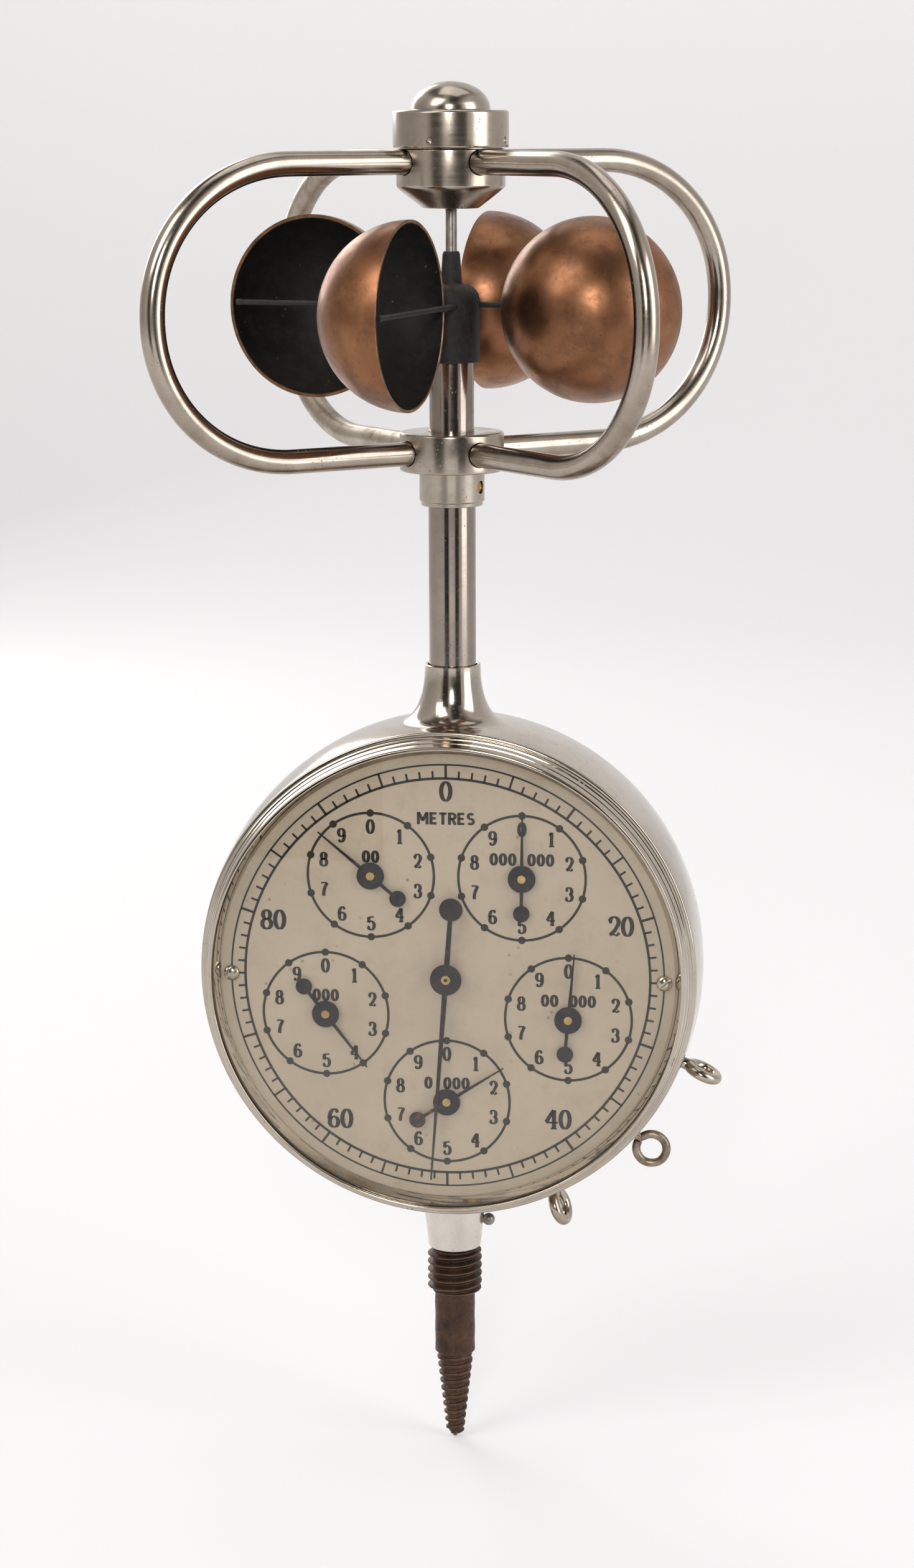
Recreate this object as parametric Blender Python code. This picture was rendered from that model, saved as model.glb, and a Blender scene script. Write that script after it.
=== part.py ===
"""Cup anemometer: a hand instrument with a four-cup rotor, guard bows and a six-hand counter.

Frame: metres, +Z up along the spindle, the dial faces -Y. The origin lies on the spindle axis at
the lower end of the tapered socket, where the post screw leaves it.
"""
import math

import bmesh
import bpy
from mathutils import Matrix, Vector

MM = 0.001

# Clearances
GAP = 0.3 * MM              # between pieces that seat on or in each other
FINE = 0.15 * MM            # between small clockwork pieces
RUN = 0.25 * MM             # radial play of a running fit

# Case
CASE_R = 44.35 * MM
CASE_BULGE_R = 78.7 * MM
CASE_FRONT_Y = -11.2 * MM
CASE_BACK_Y = 11.0 * MM
CASE_WALL = 2.35 * MM
COVER_SEAT = 1.6 * MM
COVER_RISE = 1.5 * MM
COVER_FLAT_R = 0.68 * CASE_R
LEDGE_Y = -9.0 * MM
LEDGE_THICK = 1.8 * MM
FLARE_SPREAD = 4.86 * MM
FLARE_POWER = 2.3

# Bezel, glass and dial, each seated inside the last
BEZEL_R = CASE_R - 1.45 * MM
CASE_MOUTH_R = CASE_R - 2.0 * MM
BEZEL_FRONT_Y = -15.2 * MM
SPIGOT_LENGTH = 1.4 * MM
GLASS_R = CASE_MOUTH_R - 1.1 * MM
GLASS_THICK = 1.2 * MM
BEZEL_LIP_R = GLASS_R - 0.25 * MM
FLANGE_FRONT_R = GLASS_R - 0.3 * MM
FLANGE_BACK_R = GLASS_R - 1.35 * MM
DIAL_R = GLASS_R - 0.25 * MM
DIAL_Y = -11.56 * MM
DIAL_THICK = 0.8 * MM
LEDGE_R = DIAL_R - 2.0 * MM
SCALE_R = DIAL_R - 3.0 * MM
DIAL_SCREW_HEAD_R = 1.4 * MM
DIAL_SCREW_R = 0.7 * MM

# Stem, collar, hub and guard bows
STEM_R = 4.1 * MM
UPPER_TUBE_R = STEM_R - 0.24 * MM
STEM_BORE_R = STEM_R - 1.4 * MM
NECK_R = STEM_R + 0.79 * MM
COLLAR_NECK_R = STEM_R + 1.54 * MM
COLLAR_R = STEM_R + 4.88 * MM
HUB_R = 9.26 * MM
CONE_END_R = 4.7 * MM
CAP_R = HUB_R + 0.57 * MM
DOME_R = 6.7 * MM
ROD_R = 2.08 * MM
BOW_REACH = 57.1 * MM
BOW_CURVE = 25.9 * MM
BOW_RISE = 48.9 * MM
BOW_AZIMUTH = -141.4
ROD_SEAT_R = 5.6 * MM
GRUB_R = 0.95 * MM

# Heights on the spindle axis, counted up from the socket's lower end
SOCKET_HEIGHT = 8.9 * MM
DIAL_Z = SOCKET_HEIGHT + CASE_R
NECK_RIM_Z = DIAL_Z + CASE_R + 9.3 * MM
STEM_SHOWN = 27.9 * MM
COLLAR_NECK_Z = NECK_RIM_Z + STEM_SHOWN
COLLAR_Z = COLLAR_NECK_Z + 6.0 * MM
COLLAR_TOP_Z = COLLAR_Z + 6.7 * MM
LOWER_ROD_Z = COLLAR_Z + 3.3 * MM
UPPER_ROD_Z = LOWER_ROD_Z + BOW_RISE
CUP_Z = LOWER_ROD_Z + 0.499 * BOW_RISE
ARM_Z = CUP_Z + 0.5 * MM
TUBE_TOP_Z = CUP_Z - 5.3 * MM
ROTOR_SKIRT_Z = CUP_Z - 9.1 * MM
ROTOR_CEILING_Z = TUBE_TOP_Z + 0.7 * MM
ROTOR_SHOULDER_Z = CUP_Z + 4.2 * MM
ROTOR_TOP_Z = CUP_Z + 9.6 * MM
HUB_Z = UPPER_ROD_Z - 4.2 * MM
CONE_Z = HUB_Z - 3.5 * MM
CAP_SKIRT_Z = UPPER_ROD_Z + ROD_R + 0.32 * MM
HUB_TOP_Z = CAP_SKIRT_Z + 2.0 * MM
CAP_TOP_Z = CAP_SKIRT_Z + 6.2 * MM
DOME_TOP_Z = CAP_TOP_Z + 4.8 * MM

# Movement
PLATE_THICK = 1.2 * MM
MID_PLATE_Y = -5.9 * MM
MID_PLATE_THICK = 1.0 * MM
BACK_PLATE_Y = 5.4 * MM
PLATE_R = LEDGE_R - 0.6 * MM
PILLAR_RING_R = PLATE_R - 2.1 * MM
PILLAR_R = 2.0 * MM
PILLAR_NECK_R = 1.1 * MM
PILLAR_CLOCK_ANGLES = (8, 72, 216, 288)
SUB_RING_R = 22.45 * MM
PLANE_A_Y = -8.55 * MM
PLANE_B_Y = -7.45 * MM
PLANE_C_Y = -4.45 * MM
WHEEL_THICK = 0.6 * MM
MODULE = 0.4 * MM
PINION_TEETH = 6
WHEEL_TEETH = 60
FIRST_IDLER_TEETH = 23
IDLER_TEETH = 33
CENTRE_MODULE = 0.5 * MM
CENTRE_TEETH = 48
WORM_WHEEL_TEETH = 30
WORM_PITCH_R = 1.8 * MM
WORM_LENGTH = 6.4 * MM
ARBOR_R = 0.75 * MM
PIVOT_R = 0.45 * MM

# Hands, lengths from their own arbor
MAIN_POINTER = 36.7 * MM
MAIN_TAIL = 12.65 * MM
MAIN_HUB_R = 2.76 * MM
MAIN_WEIGHT_R = 2.04 * MM
MAIN_HAND_Y = -13.1 * MM
MAIN_REST_CLOCK = 184.3
SUB_POINTER = 11.95 * MM
SUB_TAIL = 6.2 * MM
SUB_HUB_R = 2.4 * MM
SUB_WEIGHT_R = 1.44 * MM
SUB_HAND_Y = -12.35 * MM
HAND_THICK = 0.2 * MM
HAND_BASE_W = 0.95 * MM
HAND_TIP_W = 0.3 * MM

# Spindle, rotor and cups
SPINDLE_R = 0.97 * MM
SPINDLE_TAIL_R = 0.83 * SPINDLE_R
SPINDLE_STEP_Z = DIAL_Z + 26.75 * MM
SPINDLE_FOOT = 5.0 * MM
FOOT_PIN_R = 0.5 * MM
FOOT_HALF = 1.8 * MM
FOOT_DEPTH = 2.6 * MM
FOOT_THICK = 2.6 * MM
ROTOR_BORE_R = UPPER_TUBE_R + 0.39 * MM
ROTOR_R = ROTOR_BORE_R + 0.65 * MM
SLEEVE_LOW_R = SPINDLE_R + 0.88 * MM
SLEEVE_TOP_R = SPINDLE_R + 0.53 * MM
ARM_R = 0.5 * MM
CUP_AZIMUTH = -9.1
CUP_ARM = 24.84 * MM
CUP_R = 15.67 * MM
CUP_WALL = 0.6 * MM
CUP_DEPTH = 0.98
CUP_TOE = -5.1
ARM_OFFSET = -CUP_ARM * math.sin(math.radians(CUP_TOE))

# Socket and post screw
SOCKET_LOW_R = 4.69 * MM
SOCKET_TOP_R = 5.75 * MM
SOCKET_TOP_Z = SOCKET_HEIGHT + 0.7 * MM
SOCKET_BORE_R = 3.4 * MM
TENON_R = SOCKET_BORE_R - GAP
TENON_WALL = 1.0 * MM
TENON_TOP_Z = SOCKET_HEIGHT - 2.3 * MM
THREAD_R = 4.93 * MM
THREAD_ROOT_R = 4.15 * MM
THREAD_END_Z = -8.5 * MM
THREAD_PITCH = 1.5 * MM
SHANK_R = 3.62 * MM
SHANK_END_Z = -20.2 * MM
WOOD_R = 3.42 * MM
WOOD_ROOT_R = 2.75 * MM
TIP_R = 1.5 * MM
TIP_Z = -36.9 * MM
WOOD_RIDGES = 11
LOCK_SCREW_Z = 5.1 * MM
LOCK_BALL_R = 1.12 * MM
LOCK_BALL_X = 6.2 * MM

# Start and stop lever and the cord guides
LEVER_Y = 4.0 * MM
LEVER_THICK = 1.2 * MM
LEVER_W = 3.6 * MM
LEVER_PIVOT = (-27.5 * MM, 21.9 * MM)
LEVER_SWING = 2.3
LEVER_ROD_R = 0.8 * MM
LEVER_STUD_R = 1.2 * MM
LEVER_STUD_HEAD_R = 2.0 * MM
LEVER_EYE_CLOCK = 134.9
LEVER_EYE_RING = CASE_R + 5.49 * MM
EYE_R = 3.5 * MM
EYE_HOLE_R = 1.95 * MM
GUIDE_EYE_R = 3.7 * MM
GUIDE_WIRE_R = 1.0 * MM
GUIDE_CLOCKS = {"upper": 114.7, "lower": 157.9}
GUIDE_RINGS = {"upper": CASE_R + 4.55 * MM, "lower": CASE_R + 5.85 * MM}
GUIDE_TWIST = {"upper": 0.0, "lower": 12.0}
SLEEVE_Z = DIAL_Z + 20.55 * MM
SLEEVE_GROOVE = 1.7 * MM
SLEEVE_GROOVE_R = 1.6 * MM
LEVER_PIN_R = 0.6 * MM
SLEEVE_FLANGE_R = 2.7 * MM
DOG_LENGTH = 1.15 * MM

# Roundness: segments of a full turn
FINE_TURN = 32
MID_TURN = 16
SMALL_TURN = 8
SMALL_PHASE = 0.13
SADDLE_TURN = 98
WORM_TURN = 10


# ---------------------------------------------------------------- scene, materials, objects

for old in list(bpy.data.objects):
    bpy.data.objects.remove(old, do_unlink=True)


def make_material(name, colour, metallic, roughness, transmission=0.0):
    material = bpy.data.materials.new(name)
    material.use_nodes = True
    shader = material.node_tree.nodes["Principled BSDF"]
    shader.inputs["Base Color"].default_value = (*colour, 1.0)
    shader.inputs["Metallic"].default_value = metallic
    shader.inputs["Roughness"].default_value = roughness
    shader.inputs["Transmission Weight"].default_value = transmission
    return material


NICKEL = make_material("nickel_plate", (0.62, 0.56, 0.48), 1.0, 0.22)
SATIN = make_material("satin_nickel", (0.68, 0.64, 0.58), 1.0, 0.38)
COPPER = make_material("coppered_cup", (0.48, 0.22, 0.11), 1.0, 0.35)
BLACK = make_material("black_lacquer", (0.012, 0.012, 0.013), 0.0, 0.5)
STEEL = make_material("grey_steel", (0.33, 0.31, 0.29), 1.0, 0.42)
BRASS = make_material("brass", (0.62, 0.44, 0.18), 1.0, 0.3)
BLUED = make_material("blued_steel", (0.03, 0.045, 0.065), 1.0, 0.35)
DIAL = make_material("silvered_dial", (0.55, 0.5, 0.42), 0.1, 0.6)
GLASS = make_material("clear_glass", (0.97, 0.98, 0.97), 0.0, 0.03, 1.0)
IRON = make_material("rusted_iron", (0.09, 0.05, 0.035), 0.3, 0.75)


def clock(angle, radius):
    """Offset from the dial centre for an angle in degrees clockwise from the top."""
    turn = math.radians(angle)
    return radius * math.sin(turn), radius * math.cos(turn)


def polar(radius, azimuth, height=0.0):
    turn = math.radians(azimuth)
    return Vector((radius * math.cos(turn), radius * math.sin(turn), height))


def dial_place(spot, y=0.0):
    return Vector((spot[0], y, DIAL_Z + spot[1]))


def dial_point(angle, radius, y):
    x, z = clock(angle, radius)
    return Vector((x, y, DIAL_Z + z))


def publish(name, bm, material, at=(0.0, 0.0, 0.0), basis=None):
    """Makes one node from a bmesh in the object's own axes, with its origin at the given place."""
    bmesh.ops.remove_doubles(bm, verts=bm.verts, dist=1e-7)
    bmesh.ops.recalc_face_normals(bm, faces=bm.faces)
    mesh = bpy.data.meshes.new(name)
    bm.to_mesh(mesh)
    bm.free()
    mesh.shade_smooth()
    mesh.set_sharp_from_angle(angle=math.radians(32))
    mesh.materials.append(material)
    thing = bpy.data.objects.new(name, mesh)
    bpy.context.scene.collection.objects.link(thing)
    thing.matrix_world = Matrix.Translation(at) @ (basis.to_4x4() if basis else Matrix())
    return thing


def helper(name, bm, at=(0.0, 0.0, 0.0), basis=None):
    """A cutter or an addition that only a Boolean modifier uses."""
    thing = publish(name, bm, BRASS, at, basis)
    thing.hide_render = True
    thing.display_type = "WIRE"
    return thing


def boolean(target, tool, operation):
    modifier = target.modifiers.new(tool.name, "BOOLEAN")
    modifier.operation = operation
    modifier.solver = "EXACT"
    modifier.object = tool
    return target


def cut(target, tool):
    return boolean(target, tool, "DIFFERENCE")


def join(target, tool):
    return boolean(target, tool, "UNION")


# ---------------------------------------------------------------- shapes

# columns are the images of X, Y and Z: a lathe along its own Z that then lies along world +Y
ALONG_Y = Matrix(((1, 0, 0), (0, 0, 1), (0, -1, 0)))


def along(direction):
    return Vector(direction).to_track_quat("Z", "Y").to_matrix()


def lathe(outline, turn):
    """Turns a closed outline of (radius, height) points about Z; small ones start off the axes."""
    phase = 0.0 if turn >= MID_TURN else SMALL_PHASE
    bm = bmesh.new()
    rings = []
    for radius, height in outline:
        if radius < 1e-9:
            rings.append([bm.verts.new((0.0, 0.0, height))])
            continue
        ring = []
        for step in range(turn):
            angle = phase + 2 * math.pi * step / turn
            ring.append(bm.verts.new((radius * math.cos(angle), radius * math.sin(angle), height)))
        rings.append(ring)
    for here, there in zip(rings, rings[1:] + rings[:1]):
        bridge(bm, here, there)
    return bm


def bridge(bm, here, there):
    """Faces between two rings; a ring of one vertex is a pole, and two poles need no face."""
    if len(here) == 1 and len(there) == 1:
        return
    count = max(len(here), len(there))
    for step in range(count):
        after = (step + 1) % count
        corners = [here[step % len(here)], here[after % len(here)],
                   there[after % len(there)], there[step % len(there)]]
        unique = list(dict.fromkeys(corners))
        bm.faces.new(unique)


def rod(radius, low, high, turn):
    return lathe([(0.0, low), (radius, low), (radius, high), (0.0, high)], turn)


def tube(outer, inner, low, high, turn):
    return lathe([(inner, low), (outer, low), (outer, high), (inner, high)], turn)


def ball(radius, turn):
    rows = turn // 2
    outline = [(radius * math.sin(math.pi * row / rows), -radius * math.cos(math.pi * row / rows))
               for row in range(rows + 1)]
    outline[0] = (0.0, -radius)
    outline[-1] = (0.0, radius)
    return lathe(outline, turn)


def plate(outline, front, back):
    """Extrudes a closed outline of (x, z) points from y = front to y = back."""
    bm = bmesh.new()
    near = [bm.verts.new((x, front, z)) for x, z in outline]
    far = [bm.verts.new((x, back, z)) for x, z in outline]
    bm.faces.new(near)
    bm.faces.new(list(reversed(far)))
    for step in range(len(near)):
        after = (step + 1) % len(near)
        bm.faces.new((near[step], far[step], far[after], near[after]))
    return bm


def disc_outline(radius, turn, centre=(0.0, 0.0)):
    return [(centre[0] + radius * math.cos(2 * math.pi * step / turn),
             centre[1] + radius * math.sin(2 * math.pi * step / turn)) for step in range(turn)]


def sweep(path, radius, turn, closed=False):
    """A round tube with flat ends along a list of points, or a closed ring."""
    bm = bmesh.new()
    count = len(path)
    rings = []
    normal = None
    for step, point in enumerate(path):
        before = path[step - 1] if step or closed else point
        after = path[(step + 1) % count] if step < count - 1 or closed else point
        forward = (after - before).normalized()
        if normal is None:
            normal = forward.orthogonal().normalized()
        normal = (normal - forward * normal.dot(forward)).normalized()
        side = forward.cross(normal)
        rings.append([bm.verts.new(point + radius * (normal * math.cos(2 * math.pi * k / turn)
                                                     + side * math.sin(2 * math.pi * k / turn)))
                      for k in range(turn)])
    pairs = list(zip(rings, rings[1:])) + ([(rings[-1], rings[0])] if closed else [])
    for here, there in pairs:
        bridge(bm, here, there)
    if not closed:
        bm.faces.new(rings[0])
        bm.faces.new(list(reversed(rings[-1])))
    return bm


def ring_torus(centre_r, wire_r, turn, wire_turn):
    outline = [(centre_r + wire_r * math.cos(2 * math.pi * k / wire_turn),
                wire_r * math.sin(2 * math.pi * k / wire_turn)) for k in range(wire_turn)]
    return lathe(outline, turn)


def gear_outline(teeth, module, gap_angle, flat_tips=False):
    """Pointed or flat teeth; a gap between teeth lies at gap_angle, in degrees from +X."""
    pitch_r = teeth * module / 2
    tip_r = pitch_r + 0.6 * module
    root_r = pitch_r - 1.0 * module
    points = []
    for tooth in range(teeth):
        gap = math.radians(gap_angle) + 2 * math.pi * tooth / teeth
        step = 2 * math.pi / teeth
        marks = [(0.0, root_r), (0.5, tip_r)]
        if flat_tips:
            marks = [(-0.16, root_r), (0.16, root_r), (0.42, tip_r), (0.58, tip_r)]
        for share, radius in marks:
            points.append((radius * math.cos(gap + share * step), radius * math.sin(gap + share * step)))
    return points


def heading(start, end):
    return math.degrees(math.atan2(end[1] - start[1], end[0] - start[0]))


def toward(start, end, distance):
    span = Vector(end) - Vector(start)
    return Vector(start) + span.normalized() * distance


# ---------------------------------------------------------------- case

def band_radius(y):
    """Outer radius of the gently bulged case wall."""
    return CASE_R - CASE_BULGE_R + math.sqrt(CASE_BULGE_R ** 2 - y ** 2)


def case_outline():
    """(radius, y) points of the drum's wall, outside then inside."""
    steps = 6
    span = CASE_BACK_Y - CASE_FRONT_Y
    outline = []
    for step in range(steps + 1):
        y = CASE_FRONT_Y + span * step / steps
        outline.append((band_radius(y), y))
    inside = CASE_R - CASE_WALL
    cover_r = inside - COVER_SEAT
    back_inside_y = CASE_BACK_Y - COVER_SEAT
    outline += [(inside - 0.4 * MM, CASE_BACK_Y), (inside - 0.4 * MM, back_inside_y),
                (cover_r, back_inside_y), (cover_r, back_inside_y - COVER_SEAT),
                (inside, back_inside_y - 2 * COVER_SEAT),
                (inside, LEDGE_Y + LEDGE_THICK), (LEDGE_R, LEDGE_Y + LEDGE_THICK),
                (LEDGE_R, LEDGE_Y), (CASE_MOUTH_R, LEDGE_Y), (CASE_MOUTH_R, CASE_FRONT_Y)]
    return outline


def case_top(x, y):
    """Height of the case's outer surface above the spindle's foot, at a plan position."""
    return DIAL_Z + math.sqrt(band_radius(y) ** 2 - x ** 2)


def flare():
    """The neck's trumpet: rings from the neck rim down onto the curved top of the case."""
    bm = bmesh.new()
    rows = 7
    sink = 0.5 * CASE_WALL
    rings = []
    for row in range(rows + 1):
        phase = math.pi / 2 * row / rows
        drop = math.sin(phase) ** (2 / FLARE_POWER)
        spread = 1 - math.cos(phase) ** (2 / FLARE_POWER)
        ring = []
        for step in range(MID_TURN):
            angle = 2 * math.pi * step / MID_TURN
            x = (NECK_R + FLARE_SPREAD * spread) * math.cos(angle)
            y = (NECK_R + FLARE_SPREAD * spread) * math.sin(angle)
            z = NECK_RIM_Z + (case_top(x, y) - NECK_RIM_Z) * drop
            ring.append(bm.verts.new((x, y, z)))
        rings.append(ring)
    foot = [bm.verts.new((v.co.x, v.co.y, case_top(v.co.x, v.co.y) - sink)) for v in rings[-1]]
    rings.append(foot)
    for here, there in zip(rings, rings[1:]):
        bridge(bm, here, there)
    bm.faces.new(list(reversed(rings[0])))
    bm.faces.new(foot)
    return bm


def guide_seat(which):
    return dial_point(GUIDE_CLOCKS[which], GUIDE_RINGS[which], LEVER_Y)


def build_case():
    case = publish("case_body", lathe(case_outline(), FINE_TURN), NICKEL, (0, 0, DIAL_Z), ALONG_Y)
    join(case, helper("case_flare", flare()))
    cut(case, helper("stem_seat_bore", rod(STEM_R + GAP, DIAL_Z + CASE_R, NECK_RIM_Z + 2 * MM, MID_TURN)))
    passage = rod(SPINDLE_R + 1.2 * MM, DIAL_Z + 0.8 * CASE_R, NECK_RIM_Z, SMALL_TURN)
    cut(case, helper("spindle_bore", passage))
    centre = Vector((0, LEVER_Y, DIAL_Z))
    outward = (dial_point(LEVER_EYE_CLOCK, LEVER_EYE_RING, LEVER_Y) - centre).normalized()
    reach = LEVER_EYE_RING + math.hypot(*LEVER_PIVOT)
    half_slot = reach * math.radians(LEVER_SWING) + LEVER_ROD_R + 2 * GAP
    half_gap = LEVER_ROD_R + 2 * GAP
    slot = plate([(-half_slot, 0), (half_slot, 0), (half_slot, 10 * MM), (-half_slot, 10 * MM)],
                 -half_gap, half_gap)
    basis = Matrix((outward.cross(Vector((0, 1, 0))), Vector((0, 1, 0)), outward)).transposed()
    cut(case, helper("lever_slot", slot, centre + outward * (CASE_R - 6 * MM), basis))
    for which in GUIDE_CLOCKS:
        seat = guide_seat(which)
        inward = (centre - seat).normalized()
        cut(case, helper(f"guide_hole_{which}", rod(GUIDE_WIRE_R + FINE, 0, 9 * MM, SMALL_TURN), seat,
                         along(inward)))
    tenon = rod(SOCKET_BORE_R + TENON_WALL + FINE, SOCKET_HEIGHT - 3 * MM, SOCKET_HEIGHT + 4 * MM, MID_TURN)
    cut(case, helper("socket_hole", tenon))
    return case


def build_rear_cover():
    inside = CASE_R - CASE_WALL
    rim_r = inside - 0.4 * MM - GAP
    spigot_r = inside - COVER_SEAT - GAP
    seat_y = CASE_BACK_Y - COVER_SEAT + GAP
    back_y = CASE_BACK_Y + COVER_RISE
    outline = [(0, back_y), (COVER_FLAT_R, back_y), (rim_r - 4 * MM, back_y - 0.5 * MM),
               (rim_r - 0.6 * MM, CASE_BACK_Y), (rim_r, CASE_BACK_Y - 0.6 * MM), (rim_r, seat_y),
               (spigot_r, seat_y), (spigot_r, seat_y - COVER_SEAT), (spigot_r - 1.2 * MM,
               seat_y - COVER_SEAT), (spigot_r - 1.2 * MM, seat_y + 0.2 * MM),
               (COVER_FLAT_R, back_y - 1.2 * MM), (0, back_y - 1.2 * MM)]
    publish("rear_cover", lathe(outline, FINE_TURN), NICKEL, (0, 0, DIAL_Z), ALONG_Y)


def bezel_outline():
    """(radius, y): a narrow lip, a slope with two fine steps, and a spigot inside the case mouth."""
    back_y = CASE_FRONT_Y - GAP
    lip_out = BEZEL_R - 1.15 * MM
    return [(BEZEL_LIP_R, glass_front() - FINE), (BEZEL_LIP_R, BEZEL_FRONT_Y + 0.15 * MM),
            (BEZEL_LIP_R + 0.15 * MM, BEZEL_FRONT_Y), (lip_out - 0.15 * MM, BEZEL_FRONT_Y + 0.05 * MM),
            (lip_out, BEZEL_FRONT_Y + 0.3 * MM), (BEZEL_R - 0.85 * MM, BEZEL_FRONT_Y + 1.4 * MM),
            (BEZEL_R - 0.7 * MM, BEZEL_FRONT_Y + 1.5 * MM),
            (BEZEL_R - 0.4 * MM, BEZEL_FRONT_Y + 2.7 * MM),
            (BEZEL_R - 0.2 * MM, BEZEL_FRONT_Y + 2.8 * MM),
            (BEZEL_R, back_y - 0.3 * MM), (BEZEL_R, back_y),
            (CASE_MOUTH_R - FINE, back_y), (CASE_MOUTH_R - FINE, back_y + SPIGOT_LENGTH),
            (GLASS_R + FINE, back_y + SPIGOT_LENGTH), (GLASS_R + FINE, glass_front() - FINE)]


def glass_front():
    return BEZEL_FRONT_Y + 0.6 * MM


def build_front():
    publish("bezel_ring", lathe(bezel_outline(), FINE_TURN), NICKEL, (0, 0, DIAL_Z), ALONG_Y)
    front = glass_front()
    glass_back = front + GLASS_THICK
    glass = lathe([(0, front), (GLASS_R - 0.2 * MM, front), (GLASS_R, front + 0.2 * MM),
                   (GLASS_R, glass_back), (0, glass_back)], FINE_TURN)
    publish("dial_glass", glass, GLASS, (0, 0, DIAL_Z), ALONG_Y)
    flange_back = DIAL_Y - FINE
    flange = lathe([(FLANGE_FRONT_R, glass_back + FINE), (GLASS_R, glass_back + FINE),
                    (GLASS_R, flange_back), (FLANGE_BACK_R, flange_back)], FINE_TURN)
    publish("reflector_flange", flange, NICKEL, (0, 0, DIAL_Z), ALONG_Y)
    face = lathe([(ARBOR_R + RUN, DIAL_Y), (DIAL_R, DIAL_Y), (DIAL_R, DIAL_Y + DIAL_THICK),
                  (ARBOR_R + RUN, DIAL_Y + DIAL_THICK)], FINE_TURN)
    dial = publish("dial_plate", face, DIAL, (0, 0, DIAL_Z), ALONG_Y)
    for name, spot in sub_centres().items():
        hole = rod(ARBOR_R + RUN, DIAL_Y - 1 * MM, DIAL_Y + 2 * MM, SMALL_TURN)
        cut(dial, helper(f"dial_hole_{name}", hole, (spot[0], 0, DIAL_Z + spot[1]), ALONG_Y))
    for side, sign in (("left", -1), ("right", 1)):
        place = (sign * SCALE_R, 0, DIAL_Z)
        hole = rod(DIAL_SCREW_R + FINE, DIAL_Y - 1 * MM, DIAL_Y + 2 * MM, SMALL_TURN)
        cut(dial, helper(f"dial_screw_hole_{side}", hole, place, ALONG_Y))
        build_dial_screw(side, place)


def build_dial_screw(side, place):
    under = DIAL_Y - FINE
    tip = DIAL_Y + DIAL_THICK + FINE + 1.0 * MM
    outline = [(0, under - 0.55 * MM), (0.8 * DIAL_SCREW_HEAD_R, under - 0.4 * MM),
               (DIAL_SCREW_HEAD_R, under - 0.12 * MM), (DIAL_SCREW_HEAD_R, under),
               (DIAL_SCREW_R, under), (DIAL_SCREW_R, tip), (0, tip)]
    screw = publish(f"dial_screw_{side}", lathe(outline, SMALL_TURN), NICKEL, place, ALONG_Y)
    bm = plate([(-2 * MM, -0.16 * MM), (2 * MM, -0.16 * MM), (2 * MM, 0.16 * MM), (-2 * MM, 0.16 * MM)],
               under - 1 * MM, under - 0.3 * MM)
    tilt = Matrix.Rotation(math.radians(-40), 3, "Y")
    cut(screw, helper(f"dial_screw_slot_{side}", bm, place, tilt))


# ---------------------------------------------------------------- movement

def sub_centres():
    """Sub-dial arbors, in the order in which the counter carries from one to the next."""
    angles = {"hundreds": 324, "thousands": 252, "ten_thousands": 180, "hundred_thousands": 108,
              "millions": 36}
    return {name: clock(angle, SUB_RING_R) for name, angle in angles.items()}


SUB_REST = {"hundreds": 310.0, "thousands": 142.5, "ten_thousands": 57.0, "hundred_thousands": 5.0,
            "millions": 0.5}


def first_arbor():
    """The worm wheel's arbor lies on the left of the spindle, at the worm's height."""
    x = -WORM_PITCH_R - WORM_WHEEL_TEETH * MODULE / 2
    reach = (PINION_TEETH + CENTRE_TEETH) * CENTRE_MODULE / 2
    return x, math.sqrt(reach ** 2 - x ** 2)


def drill_plate(target, prefix, spots, radius, y):
    for index, spot in enumerate(spots):
        hole = rod(radius, y - 1.5 * MM, y + 3 * MM, SMALL_TURN)
        cut(target, helper(f"{prefix}_{index}", hole, (spot[0], 0, DIAL_Z + spot[1]), ALONG_Y))


def pillar_spots():
    return [clock(angle, PILLAR_RING_R) for angle in PILLAR_CLOCK_ANGLES]


def front_plate_y():
    return DIAL_Y + DIAL_THICK + GAP


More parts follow.
